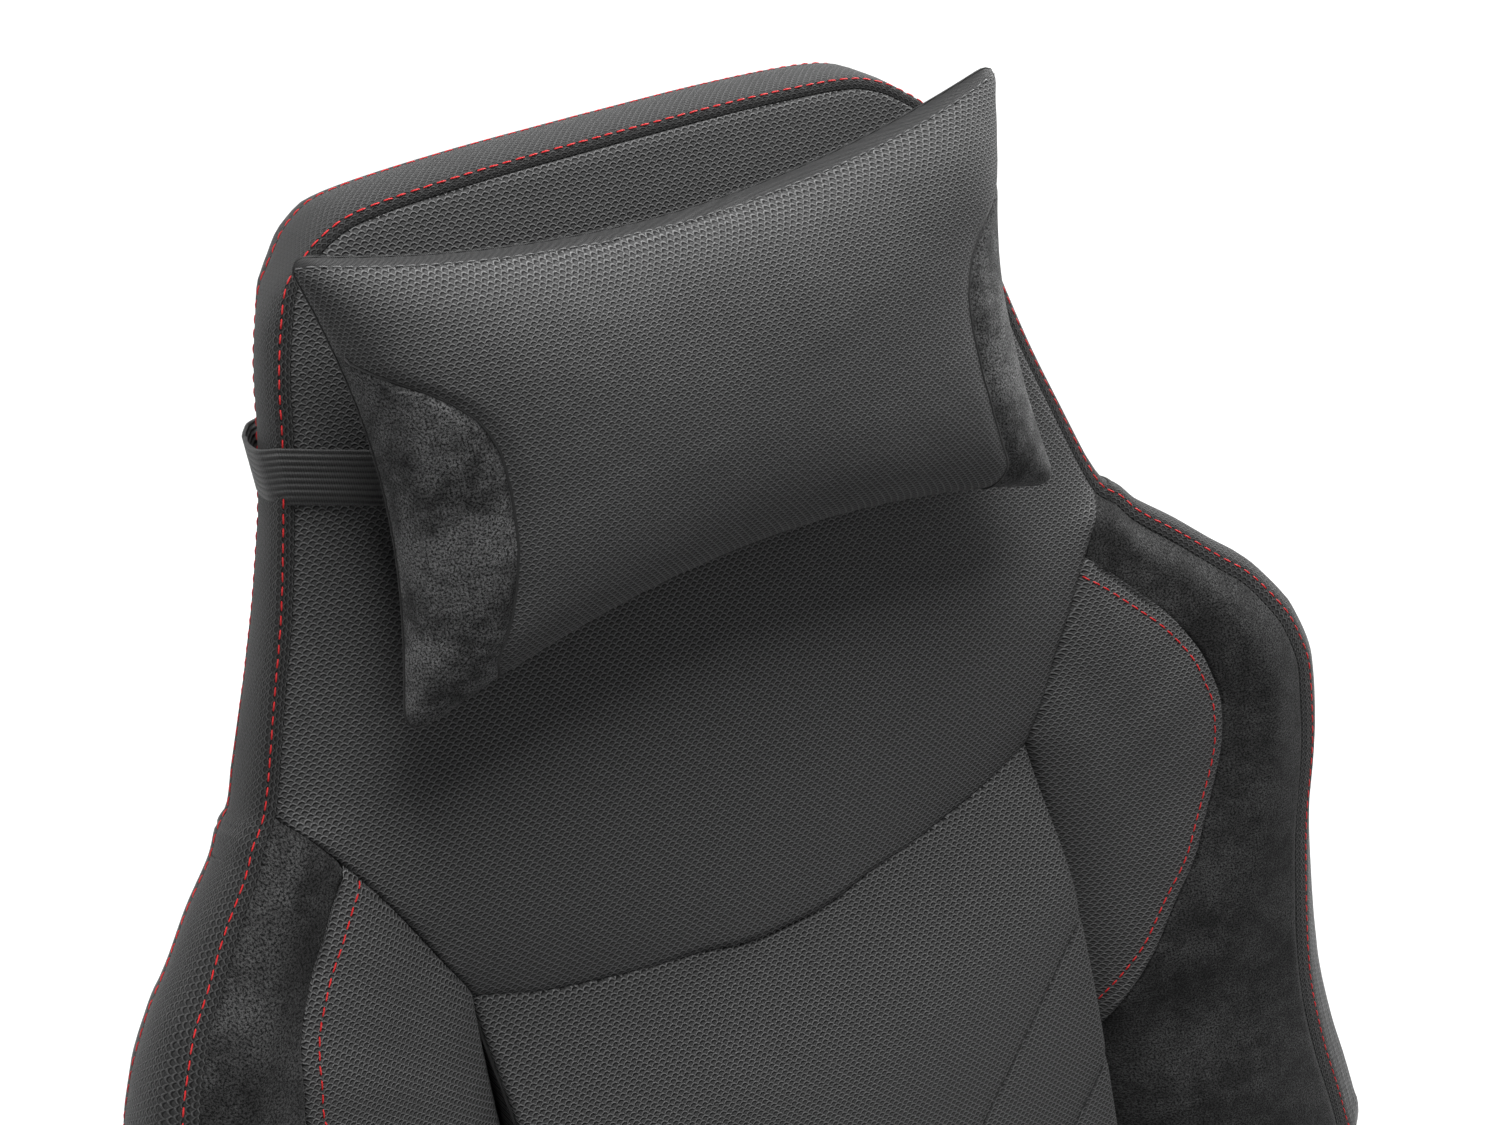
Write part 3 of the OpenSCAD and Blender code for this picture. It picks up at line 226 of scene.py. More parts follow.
def new_object(name, verts, faces, uvs=None, material=None, body=None):
    """Makes a smooth-shaded piece from points in metres, with a corner UV per vertex."""
    mesh = bpy.data.meshes.new(name)
    mesh.from_pydata([tuple(v) for v in verts], [], faces)
    mesh.validate()
    if uvs is not None:
        layer = mesh.uv_layers.new(name="cloth")
        index = np.empty(len(mesh.loops), int)
        mesh.loops.foreach_get("vertex_index", index)
        layer.data.foreach_set("uv", np.asarray(uvs, float)[index].ravel())
    mesh.polygons.foreach_set("use_smooth", [True] * len(mesh.polygons))
    piece = bpy.data.objects.new(name, mesh)
    bpy.context.scene.collection.objects.link(piece)
    if material:
        mesh.materials.append(material)
    if body:
        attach(piece, body)
    return piece


def outward(piece):
    """Points all faces outwards on a closed piece."""
    bm = bmesh.new()
    bm.from_mesh(piece.data)
    bmesh.ops.recalc_face_normals(bm, faces=bm.faces)
    bm.to_mesh(piece.data)
    bm.free()
    return piece


def grid_faces(rows, cols, wrap=False, ring=False):
    """Quads of a grid stored row by row; wrap closes its columns and ring its rows."""
    faces = []
    for i in range(rows if ring else rows - 1):
        this, after = i * cols, (i + 1) % rows * cols
        for j in range(cols if wrap else cols - 1):
            k = (j + 1) % cols
            faces.append((this + j, this + k, after + k, after + j))
    return faces


def join(parts):
    """Joins pairs of (points, faces) into one such pair."""
    verts, faces, base = [], [], 0
    for part_verts, part_faces in parts:
        verts.append(part_verts)
        faces += [tuple(base + i for i in face) for face in part_faces]
        base += len(part_verts)
    return np.vstack(verts), faces


SWELL_FRAMES = 20
SWELL_PRESSURE = 4.0


def inflate(piece, sewn, reach):
    """Blows a closed piece up with the cloth simulation.

    The sewn points stay where they are, and no point moves further than reach, in metres.
    """
    start = mesh_points(piece.data)
    group = piece.vertex_groups.new(name="sewn")
    group.add([int(i) for i in sewn], 1.0, "REPLACE")
    cloth = piece.modifiers.new("cloth", "CLOTH")
    cloth.settings.vertex_group_mass = "sewn"
    cloth.settings.quality = 4
    cloth.settings.use_pressure = True
    cloth.settings.uniform_pressure_force = SWELL_PRESSURE
    cloth.settings.bending_stiffness = 1.0
    cloth.settings.effector_weights.gravity = 0.0
    cloth.point_cache.frame_start = 1
    cloth.point_cache.frame_end = SWELL_FRAMES
    scene = bpy.context.scene
    for f in range(1, SWELL_FRAMES + 1):
        scene.frame_set(f)
    end = mesh_points(piece.evaluated_get(bpy.context.evaluated_depsgraph_get()).data)
    piece.modifiers.remove(cloth)
    scene.frame_set(1)
    move = end - start
    far = np.linalg.norm(move, axis=1)[:, None] + 1e-12
    move *= reach * np.tanh(far / reach) / far
    piece.data.vertices.foreach_set("co", (start + move).ravel())
    piece.data.update()
    most = float(np.linalg.norm(move, axis=1).max())
    print(piece.name, "swells by up to", round(most / MM, 1), "mm")


def cushion(name, grid, rear_n, material, body, to_world=back_world, inset=0.0,
            unroll=False, planar=None):
    """Closes a front surface into a pad: walls from its rim back to a flat rear.

    Its cloth is mapped by lengths, or straight from the front when planar is given.
    """
    rows, cols = grid.shape[:2]
    verts = grid.reshape(-1, 3)
    if planar:
        uvs = verts[:, :2] * (planar, 1) / CLOTH_UNIT
    else:
        uvs = cloth_uv(grid, unroll).reshape(-1, 2)
    index = np.arange(rows * cols).reshape(rows, cols)
    loop = border(index)
    centre = verts[loop].mean(axis=0)
    rear = verts[loop].copy()
    rear[:, :2] += (centre[:2] - rear[:, :2]) * inset
    rear[:, 2] = rear_n
    mid = verts[loop] * [1, 1, 0.5] + rear * [0, 0, 0.5]
    n = len(loop)
    faces = grid_faces(rows, cols)
    base = len(verts)
    for i in range(n):
        j = (i + 1) % n
        faces.append((loop[i], base + i, base + j, loop[j]))
        faces.append((base + i, base + n + i, base + n + j, base + j))
    faces.append(tuple(base + n + i for i in range(n)))
    points = np.vstack([verts, mid, rear])
    piece = new_object(name, to_world(points), faces, np.vstack([uvs, uvs[loop], uvs[loop]]),
                       material, body)
    return outward(piece)


# %% [markdown]
# ## Finishes
# All finishes are procedural. A small set of helpers keeps the node trees short: `calc` is one
# Math node, `blend_colors` mixes two colours and `noise` reads a Noise texture. Cloth reads the
# piece's own UV map, in millimetres, so that threads follow the surface; steel and plastic read
# Object coordinates, because every piece has its origin at the seat's own origin.

# %% Node helpers
def new_material(name, color, roughness, metallic=0.0, sheen=0.0, sheen_tint=None, specular=None):
    """A material with its tree and shader; what is constant is set on the shader's sockets."""
    material = bpy.data.materials.new(name)
    material.use_nodes = True
    tree = material.node_tree
    skin = tree.nodes["Principled BSDF"]
    skin.inputs["Base Color"].default_value = (*color, 1)
    skin.inputs["Roughness"].default_value = roughness
    skin.inputs["Metallic"].default_value = metallic
    skin.inputs["Sheen Weight"].default_value = sheen
    if sheen_tint:
        skin.inputs["Sheen Tint"].default_value = (*sheen_tint, 1)
        skin.inputs["Sheen Roughness"].default_value = 0.35
    if specular is not None:
        skin.inputs["Specular IOR Level"].default_value = specular
    return material, tree, skin


def feed(tree, socket, value):
    """Links an output to a socket, or sets the socket to a number or a colour."""
    if isinstance(value, bpy.types.NodeSocket):
        tree.links.new(value, socket)
    else:
        socket.default_value = value


def calc(tree, operation, *values):
    """The result of one Math node."""
    math_node = tree.nodes.new("ShaderNodeMath")
    math_node.operation = operation
    for socket, value in zip(math_node.inputs, values):
        feed(tree, socket, value)
    return math_node.outputs[0]


def step_range(tree, value, low, high, out_low=0.0, out_high=1.0):
    """Maps a range of values to another one, with a soft start and end."""
    ramp = tree.nodes.new("ShaderNodeMapRange")
    ramp.interpolation_type = "SMOOTHSTEP"
    for key, given in zip(("Value", "From Min", "From Max", "To Min", "To Max"),
                          (value, low, high, out_low, out_high)):
        feed(tree, ramp.inputs[key], given)
    return ramp.outputs[0]


def blend_colors(tree, factor, first, second):
    """Mixes two colours: the first where the factor is 0, the second where it is 1."""
    mix = tree.nodes.new("ShaderNodeMix")
    mix.data_type = "RGBA"
    feed(tree, mix.inputs["Factor"], factor)
    for key, value in (("A", first), ("B", second)):
        socket = [s for s in mix.inputs if s.name == key and s.type == "RGBA"][0]
        feed(tree, socket, value if isinstance(value, bpy.types.NodeSocket) else (*value, 1))
    return [s for s in mix.outputs if s.type == "RGBA"][0]


def noise(tree, vector, scale, detail=2.0, rough=0.5):
    """A Noise texture's value, from about 0.2 to 0.8."""
    texture = tree.nodes.new("ShaderNodeTexNoise")
    feed(tree, texture.inputs["Vector"], vector)
    texture.inputs["Scale"].default_value = scale
    texture.inputs["Detail"].default_value = detail
    texture.inputs["Roughness"].default_value = rough
    return texture.outputs["Fac"]


def bump(tree, skin, height, distance, strength=1.0):
    """Adds a bump whose height is in metres."""
    node = tree.nodes.new("ShaderNodeBump")
    node.inputs["Strength"].default_value = strength
    node.inputs["Distance"].default_value = distance
    feed(tree, node.inputs["Height"], height)
    tree.links.new(node.outputs[0], skin.inputs["Normal"])


def cloth_mm(tree):
    """The piece's cloth UV in millimetres: the vector and its two parts."""
    uv = tree.nodes.new("ShaderNodeUVMap")
    uv.uv_map = "cloth"
    scaled = tree.nodes.new("ShaderNodeVectorMath")
    scaled.operation = "SCALE"
    scaled.inputs["Scale"].default_value = CLOTH_UNIT
    tree.links.new(uv.outputs[0], scaled.inputs[0])
    parts = tree.nodes.new("ShaderNodeSeparateXYZ")
    tree.links.new(scaled.outputs[0], parts.inputs[0])
    return scaled.outputs[0], parts.outputs[0], parts.outputs[1]


def object_mm(tree):
    """Object coordinates in millimetres."""
    place = tree.nodes.new("ShaderNodeTexCoord")
    scaled = tree.nodes.new("ShaderNodeVectorMath")
    scaled.operation = "SCALE"
    scaled.inputs["Scale"].default_value = 1000.0
    tree.links.new(place.outputs["Object"], scaled.inputs[0])
    return scaled.outputs[0]


def grey(value):
    """A display grey level, 0 to 255, as a linear colour."""
    level = value / 255
    linear = level / 12.92 if level <= 0.04045 else ((level + 0.055) / 1.055) ** 2.4
    return (linear, linear, linear)


def tint(red, green, blue):
    """A display colour, 0 to 255 each, as a linear colour."""
    return tuple(grey(c)[0] for c in (red, green, blue))


# %% [markdown]
# The main cloth is a warp knit. Seen close up it is a net of pale threads like fish scales, with
# a hole under each scale, painted as a near-black crescent of painted shade, and every second row
# is shifted by half a cell. The scale's edge is a parabola built with a few Math nodes, so it
# stays sharp at any distance.

# %% Knit cloth
KNIT_CELL = (3.3, 1.8)      # millimetres across and along
KNIT_RELIEF = 0.0004        # metres


def scales(tree, u, v, cell):
    """The pale threads and the crescent holes, which take painted shade, of a half-dropped grid of cells,
    each 0 to 1.
    """
    row_at = calc(tree, "DIVIDE", v, cell[1])
    shift = calc(tree, "MULTIPLY", calc(tree, "PINGPONG", calc(tree, "FLOOR", row_at), 1.0), 0.5)
    col_at = calc(tree, "ADD", calc(tree, "DIVIDE", u, cell[0]), shift)
    x = calc(tree, "SUBTRACT", calc(tree, "FRACT", col_at), 0.5)
    y = calc(tree, "SUBTRACT", calc(tree, "FRACT", row_at), 0.5)
    arch = calc(tree, "SUBTRACT", 0.33, calc(tree, "MULTIPLY", calc(tree, "MULTIPLY", x, x), 2.4))
    below = calc(tree, "SUBTRACT", arch, y)
    thread = step_range(tree, calc(tree, "ABSOLUTE", below), 0.07, 0.24, 1.0, 0.0)
    upper = step_range(tree, below, 0.12, 0.24)
    lower = step_range(tree, below, 0.42, 0.64, 1.0, 0.0)
    wide = step_range(tree, calc(tree, "ABSOLUTE", x), 0.24, 0.44, 1.0, 0.0)
    return thread, calc(tree, "MULTIPLY", calc(tree, "MULTIPLY", upper, lower), wide)


def knit_material(name, pale, middle, hole_shade, cell=KNIT_CELL, sheen=0.2):
    """Knit of pale threads over a middle tone; its holes are painted dark as painted shade."""
    material, tree, skin = new_material(name, middle, 0.74, sheen=sheen, sheen_tint=grey(150),
                                        specular=0.3)
    vector, u, v = cloth_mm(tree)
    thread, hole = scales(tree, u, v, cell)
    fibre = noise(tree, vector, 1.3, 3.0, 0.7)
    uneven = step_range(tree, fibre, 0.32, 0.68)
    body, net = (blend_colors(tree, uneven, tuple(c * 0.5 for c in color), tuple(c * 1.3 for c in color))
                 for color in (middle, pale))
    # The holes take the last, near-black colour: painted shade inside them.
    color = blend_colors(tree, thread, blend_colors(tree, hole, body, hole_shade), net)
    tree.links.new(color, skin.inputs["Base Color"])
    relief = calc(tree, "SUBTRACT", thread, hole)
    height = calc(tree, "ADD", relief, calc(tree, "MULTIPLY", fibre, 0.5))
    bump(tree, skin, height, KNIT_RELIEF, 0.9)
    return material


# Each knit's last colour is the painted shade in its holes.
knit = knit_material("knit", grey(120), grey(70), grey(4))
pillow_knit = knit_material("pillow_knit", grey(120), grey(72), grey(4), cell=(2.8, 1.55))
print("knits:", knit.name, pillow_knit.name)

# %% [markdown]
# The side band is cut from a tighter knit of the same kind, with less contrast. The rear cover
# and the linings are a fine diagonal twill.

# %% Band cloth and linings
TWILL_PITCH = 1.9


def twill_material(name, thread, hole, pitch=TWILL_PITCH):
    """Diagonal cords of thread with darker gaps; pitch in millimetres."""
    material, tree, skin = new_material(name, thread, 0.62, sheen=0.3, sheen_tint=grey(150),
                                        specular=0.4)
    vector, u, v = cloth_mm(tree)
    slanted = calc(tree, "ADD", calc(tree, "MULTIPLY", u, 0.6), v)
    crossing = calc(tree, "SUBTRACT", u, calc(tree, "MULTIPLY", v, 0.3))
    cords, gaps = (calc(tree, "SINE", calc(tree, "MULTIPLY", calc(tree, "DIVIDE", line, step), math.tau))
                   for line, step in ((slanted, pitch), (crossing, pitch * 1.4)))
    fibre = noise(tree, vector, 2.2, 2.0, 0.6)
    grain = calc(tree, "ADD", calc(tree, "MULTIPLY", cords, gaps), calc(tree, "MULTIPLY", fibre, 0.8))
    color = blend_colors(tree, step_range(tree, grain, -0.2, 0.9), hole, thread)
    tree.links.new(color, skin.inputs["Base Color"])
    bump(tree, skin, grain, 0.0002, 0.8)
    return material


band_knit = knit_material("band_knit", grey(80), grey(48), grey(12), cell=(3.0, 1.65), sheen=0.5)
twill = twill_material("cover_twill", grey(60), grey(28))
lining = twill_material("lining_cloth", grey(40), grey(24), 0.9)
print("tighter cloths:", band_knit.name, twill.name, lining.name)

# %% [markdown]
# The suede is a short dense nap. Where the nap has been brushed it catches more light, so the
# cloth looks cloudy at the scale of a finger and speckled close up. Two noises drive the colour
# and a fine one drives the bump; sheen gives the velvet edge.

# %% Suede
def suede_material(name, dull, bright):
    """Brushed nap between a dull and a bright colour."""
    material, tree, skin = new_material(name, grey(38), 0.95, sheen=0.6, sheen_tint=grey(110),
                                        specular=0.15)
    vector, _, _ = cloth_mm(tree)
    clouds = noise(tree, vector, 0.035, 5.0, 0.62)
    strokes = noise(tree, vector, 0.16, 4.0, 0.7)
    specks = noise(tree, vector, 1.1, 3.0, 0.85)
    nap = calc(tree, "ADD", calc(tree, "MULTIPLY", clouds, 0.62),
               calc(tree, "MULTIPLY", strokes, 0.38))
    brushed = step_range(tree, nap, 0.36, 0.66)
    base = blend_colors(tree, brushed, dull, bright)
    color = blend_colors(tree, step_range(tree, specks, 0.4, 0.6), grey(14), base)
    tree.links.new(color, skin.inputs["Base Color"])
    bump(tree, skin, calc(tree, "ADD", specks, calc(tree, "MULTIPLY", nap, 1.4)), 0.0007, 0.8)
    return material


suede = suede_material("suede", grey(56), grey(94))
# Painted light: the pillow's ends are the same suede as the wings, made lighter here because they lie in
# the light.
pillow_suede_painted_light = suede_material("pillow_suede_painted_light", grey(66), grey(144))
print("suedes:", suede.name, pillow_suede_painted_light.name)

# %% [markdown]
# Sewing thread is twisted, so its stripes run at a slant across each stitch. The elastic strap
# has ribs along its length and a fine weave across.

# %% Threads and elastic
def thread_material(name, color):
    """Twisted sewing thread."""
    material, tree, skin = new_material(name, color, 0.45, sheen=0.2, sheen_tint=grey(200))
    place = object_mm(tree)
    twist = tree.nodes.new("ShaderNodeTexWave")
    twist.bands_direction = "DIAGONAL"
    twist.inputs["Scale"].default_value = 1.6
    tree.links.new(place, twist.inputs["Vector"])
    shade = blend_colors(tree, twist.outputs["Fac"], tuple(c * 0.65 for c in color), color)
    tree.links.new(shade, skin.inputs["Base Color"])
    bump(tree, skin, twist.outputs["Fac"], 0.0001, 0.6)
    return material


red_thread = thread_material("red_thread", tint(252, 30, 36))
black_thread = thread_material("black_thread", grey(16))
grey_thread = thread_material("grey_thread", grey(128))


def elastic_material(name):
    """Ribs run along u; the weave crosses them."""
    material, tree, skin = new_material(name, grey(46), 0.6, sheen=0.2, sheen_tint=grey(140))
    vector, u, v = cloth_mm(tree)
    ribs = calc(tree, "SINE", calc(tree, "MULTIPLY", v, math.tau / 2.35))
    weave = calc(tree, "SINE", calc(tree, "MULTIPLY", u, math.tau / 0.9))
    fibre = noise(tree, vector, 2.0, 2.0, 0.6)
    height = calc(tree, "ADD", ribs, calc(tree, "MULTIPLY", weave, 0.25))
    tone = calc(tree, "ADD", height, calc(tree, "MULTIPLY", fibre, 0.6))
    color = blend_colors(tree, step_range(tree, tone, -0.9, 1.3), grey(18), grey(66))
    tree.links.new(color, skin.inputs["Base Color"])
    bump(tree, skin, height, 0.0004, 0.9)
    return material


elastic = elastic_material("elastic")
print("threads and elastic:", red_thread.name, black_thread.name, grey_thread.name, elastic.name)

# %% [markdown]
# ## The side band
# The back is cut like a box: a padded band runs all round its side, and the front panels are
# sewn to it. An extruded outline would have one section everywhere, but this band changes from
# waist to head, so it is lofted through rings. Its front edge is one closed line, given here
# as points (x, v, n); the other half is mirrored. `SECTIONS` says how far the band stands out
# from that edge at eight shares of its depth: it is full beside the waist and drawn in behind
# the head.

# %% Front edge of the band
EDGE = [
    (0, 764, 18), (60, 763.5, 18), (106, 761, 18), (124, 756, 19), (135, 749, 20), (143, 742, 21),
    (149, 729, 22), (155, 710, 22), (160, 687, 22), (166, 664, 22), (177, 627, 22), (189, 594, 22),
    (200, 564, 22.5), (206, 551, 23.5), (212, 546, 27), (220, 535, 31), (235, 521, 40), (248, 507, 49),
    (258, 497, 56), (265, 486, 61), (270, 477, 64), (273, 470, 66), (279, 451, 67), (280, 436, 67),
    (277, 403, 67), (268, 365, 67), (263, 328, 67), (260, 295, 67), (260, 270, 67), (264, 237, 67),
    (269, 212, 67), (274, 187, 66), (277, 169, 65), (272, 138, 55), (249.5, 122, 40), (237.5, 105, 30),
    (236, 66, 24), (222.3, 44, 22), (220, 2, 22), (194, -10, 22), (0, -10, 22)]
BAND_REAR = -32.0        # n of the rear seam
SHOULDER = 546.0         # height where head band and wing band are joined
SHOULDER_HALF = 211.0    # half the width there
SHOULDER_FALL = 10.0     # how much lower the shoulder's corner lies at the rear
SHARES = np.array([0, 0.03, 0.12, 0.26, 0.42, 0.6, 0.78, 1])
FULL = np.array([0, 0.25, 0.58, 0.85, 1, 0.99, 0.93, 0.6])
SECTIONS = [                                     # v, bulge at each share, share of the rear seam
    (-10, FULL * 2, 0.83), (2, FULL * 11, 0.83), (44, FULL * 12, 0.83), (66, FULL * 16, 0.83),
    (105, FULL * 15, 0.84), (122, FULL * 6, 0.86), (138, FULL * 20, 0.88), (180, FULL * 32, 0.9),
    (237, FULL * 31, 0.9), (290, FULL * 30, 0.9),
    (335, [0, 6.8, 15, 22, 26, 26, 23, 14], 0.8), (385, [0, 7.2, 12, 16, 17, 14, 8, -1], 0.64),
    (430, [0, 7, 10.6, 12.6, 11.6, 7.2, 0, -10], 0.5), (500, [0, 5, 8.4, 9.4, 7.4, 2.8, -3, -12], 0.4),
    (546, [0, 3.4, 6.2, 7.8, 7.9, 6.2, 2.6, -4.8], 0.46),
    (566, [0, 2.7, 5.1, 6.8, 7.5, 6.4, 3.2, -3.4], 0.52),
    (610, [0, 2.3, 4.2, 5.2, 5.1, 3.4, 0.3, -5.8], 0.54),
    (655, [0, 2, 3.3, 3.4, 2.2, -0.5, -4, -9.5], 0.54),
    (728, [0, 2, 3.3, 3.4, 2.2, -0.5, -4, -9.5], 0.58), (745, [0, 0.4, 0.8, 1, 1, 0.2, -2.2, -8], 0.55),
    (759, [0, 1.2, 2.8, 4.6, 6, 6.2, 5, 0.5], 0.58)]
SECTION_AT = np.array([row[0] for row in SECTIONS])
SECTION_OUT = np.array([list(row[1]) + [row[2]] for row in SECTIONS])


def flange_width(v):
    """Width of the cloth between the panels' crease and the front stitches."""
    return np.interp(v, [430, 570], [6.6, 4.0])


def mirrored(points):
    """The same curve or grid on the other side of the middle."""
    return np.asarray(points, float) * ([-1] + [1] * (np.shape(points)[-1] - 1))


dense = smooth(EDGE, 10)
dense_run = run_lengths(dense)
seam_at = dense_run[np.argmin(np.hypot(dense[:, 0] - SHOULDER_HALF, dense[:, 1] - SHOULDER))]
stations = np.concatenate([np.linspace(0, dense_run[-1], 330), seam_at + np.arange(-4, 20, 0.8)])
stations = np.unique(np.round(stations, 2))
half_edge = at_lengths(dense, dense_run, stations)
tangent = np.gradient(half_edge[:, :2], axis=0)
for _ in range(2):
    tangent[1:-1] = (tangent[:-2] + 2 * tangent[1:-1] + tangent[2:]) / 4
tangent[0], tangent[-1] = (1, 0), (-1, 0)
tangent /= np.linalg.norm(tangent, axis=1)[:, None]
normals = np.stack([-tangent[:, 1], tangent[:, 0]], axis=1)
print("band edge:", round(2 * dense_run[-1]), "mm round,", 2 * len(half_edge) - 2, "rings")

# %% [markdown]
# Each ring of the band is one section: a flange that meets the front panels, the front seam,
# the bulging side, the second seam and the rear edge. The seams are shallow valleys, because
# the thread pulls the cloth down. The rings are joined to a closed tube round the back.

# %% Rings of the band
def band_section(v, depth):
    """Outward and forward offsets of one ring, from the flange to the rear and back inside."""
    *out, share = [np.interp(v, SECTION_AT, SECTION_OUT[:, k]) for k in range(len(SHARES) + 1)]
    skin = smooth(np.stack([out, -SHARES * depth], axis=1), 8)
    run = run_lengths(skin)
    rear = np.interp(share * depth, -skin[:, 1], run)
    at = np.concatenate([[0.9, 2.2], np.linspace(2.2, rear - 2.6, 6)[1:], rear + np.array([-1, 0, 1, 2.6]),
                         np.linspace(rear + 2.6, run[-1], 8)[1:]])
    side = np.stack([np.interp(at, run, skin[:, 0]), np.interp(at, run, skin[:, 1])], axis=1)
    slope = np.gradient(side, axis=0)
    slope /= np.linalg.norm(slope, axis=1)[:, None]
    dip = np.interp(np.abs(at - rear), [0, 1, 2.6], [0.9, 0.35, 0])
    side -= np.stack([-slope[:, 1], slope[:, 0]], axis=1) * dip[:, None]
    f = flange_width(v)
    flange = [(-f - 1.5, -5), (-f - 1.0, -1.6), (-f - 0.4, -0.05), (-f + 0.6, 0.2), (-0.6 * f, 0.35),
              (-0.35 * f, 0.3), (-0.8, 0.0), (0, -0.35)]
    inside = [(out[-1] - 4, -depth + 3), (0.9 * out[4] - 6, -0.5 * depth)]
    return np.vstack([flange, side, inside]), len(flange) - 1, len(flange) + 7


rings = []
for (x, v, n), normal in zip(half_edge, normals):
    section, front_row, rear_row = band_section(v, n - BAND_REAR)
    rings.append(np.concatenate([(x, v) + section[:, :1] * normal, n + section[:, 1:]], axis=1))
rings = np.array(rings)
edge_n = half_edge[:, 2:3]
depth_share = np.clip((edge_n - rings[..., 2]) / (edge_n - BAND_REAR), 0, 1)
at_shoulder = np.interp(half_edge[:, 1], [450, 500, 600, 650], [0, 1, 1, 0])[:, None]
rings[..., 1] -= SHOULDER_FALL * depth_share * at_shoulder
skin_rows = slice(front_row - 4, rings.shape[1] - 2)
slant = seam_at + 3 * depth_share[:, skin_rows]
pull = np.interp(np.abs(stations[:, None] - slant), [0, 0.6, 1.2, 2.4], [0.8, 0.5, 0.12, 0])
rings[:, skin_rows, :2] -= pull[..., None] * normals[:, None, :] * 0.9
rings[:, skin_rows, 2] -= pull * 0.35
band_loop = np.vstack([rings, mirrored(rings[-2:0:-1])])
count, width = band_loop.shape[:2]
lengths = np.concatenate([stations, 2 * stations[-1] - stations[-2:0:-1]])
girth = run_lengths(rings[100])         # a ring beside the shoulder stands for all
band_uv = np.stack(np.meshgrid(girth, lengths), axis=2)[..., ::-1] / CLOTH_UNIT


def close_uv(piece, period):
    """Carries the map of the last faces on past the joint, so that it isn't stretched back."""
    layer = piece.data.uv_layers["cloth"].data
    for face in piece.data.polygons:
        us = [layer[k].uv[0] for k in face.loop_indices]
        if max(us) - min(us) > period / 2:
            for k in face.loop_indices:
                if layer[k].uv[0] < period / 2:
                    layer[k].uv[0] += period


band = new_object("side_band_cloth", back_world(band_loop).reshape(-1, 3),
                  grid_faces(count, width, wrap=True, ring=True), band_uv.reshape(-1, 2),
                  band_knit, "back")
close_uv(band, 2 * stations[-1] / CLOTH_UNIT)
outward(band)
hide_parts("side_band")
print("side band:", len(band.data.polygons), "faces")

# %% [markdown]
# The panels end in the crease beside the band's flange. That line is the band's edge moved
# inwards, so the panels fit the band all round.

# %% The crease that the front panels meet
crease_in = flange_width(half_edge[:, 1:2]) + 0.35
crease = np.concatenate([half_edge[:, :2] - crease_in * normals, half_edge[:, 2:3] + 0.6], axis=1)
print("crease:", len(crease), "points from waist to head")


def crease_between(start, end):
    """The crease from the point nearest start to the point nearest end (x, v)."""
    i = int(np.argmin(np.hypot(*(crease[:, :2] - start).T)))
    j = int(np.argmin(np.hypot(*(crease[:, :2] - end).T)))
    return crease[i:j + 1] if i <= j else crease[j:i + 1][::-1]


def lump(*place):
    """Smooth noise at a place, about -1 to 1."""
    return mathutils.noise.noise(Vector(place))


def waves(grid, height, size, seed):
    """Lifts and lowers a surface a little, as hand-stretched cloth does."""
    for index in np.ndindex(grid.shape[:2]):
        x, v = grid[index][:2]
        grid[index][2] += height * lump(x / size + seed, v / size, seed * 1.7)
    return grid


# %% [markdown]
# ## Front panels
# The upper panel is one piece of knit from the lumbar block up to the rounded head. A subdivided
# plane would need its seams pulled into place one by one, so it is drawn as a grid between its
# four seams instead. A film over the grid crowns it, and its rim rolls down into the seams.

# %% Upper panel
WING_SEAM = [(144, 443, 21), (146, 449, 23), (153, 464, 27), (161, 482, 29), (169, 499, 32),
             (179, 518, 33), (188, 533, 33), (194, 542, 32)]
BLOCK_TOP = [(0, 416, 29), (22, 417.5, 29), (45, 422, 27), (69, 423.5, 24), (92, 427, 21),
             (116, 433, 20), (143, 445, 20)]
UPPER_CROWN = 7.5
head_side = crease_between((206, 551), (136, 746))
head_top = crease_between((0, 760), (136, 746))
wing_seam = smooth(WING_SEAM + [tuple(head_side[0])], 10)
block_top = smooth([mirrored(p) for p in BLOCK_TOP[:0:-1]] + BLOCK_TOP, 8)
panel_right = np.vstack([wing_seam, head_side[1:]])
panel_top = np.vstack([mirrored(head_top[:0:-1]), head_top])
upper = patch(block_top + [0, 1.0, -1.2], panel_top, mirrored(panel_right), panel_right, 116, 110)
upper[..., 2] = relax(upper[..., 2]) + UPPER_CROWN * film(upper.shape[:2]) ** 0.75 + 0.6
upper = roll_edges(waves(upper, 0.6, 60, 1.3), 2.0, 0.6)
upper_panel = cushion("upper_panel_knit", upper, 4.2, knit, "back")
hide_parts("upper_panel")
print("upper panel:", upper.shape[:2], "points")

# %% [markdown]
# Each wing is sewn from two cloths: suede on the outside, where a shoulder rubs, and a leaf of
# knit beside the lumbar block. Both leave a narrow groove beside the block and climb steeply
# out of it, which gives the wing its hollow. Two patches that share the curved seam keep its
# valley exact, where one surface with two materials would only change colour there.

# %% Wings
SUEDE_INNER = [(184, 522, 34), (192, 514, 37), (200, 505, 42), (209, 495, 46), (215, 487, 50),
               (221, 477, 53), (225, 467, 57), (227, 458, 59), (230, 445, 60), (229, 433, 61),
               (227, 420, 60.5), (222, 406, 60), (212, 384, 59), (204, 367, 58), (191, 347, 55),
               (179, 327, 52), (168, 312, 48), (159, 299, 42), (152, 284, 31), (148.5, 268, 21)]
ROOT_LOW = [(148, 240, 20), (148, 180, 20), (148, 110, 20), (148, 50, 18), (148, 4, 14)]
GROOVE = [(148.5, 268, 21), (147.5, 300, 19.5), (147, 340, 19.5), (146.5, 380, 19.5),
          (145.5, 415, 20), (144.5, 436, 20.5), (144, 443, 21)]
WING_PAD = 5.0           # how far the suede swells over its edges
LEAF_PAD = 7.0


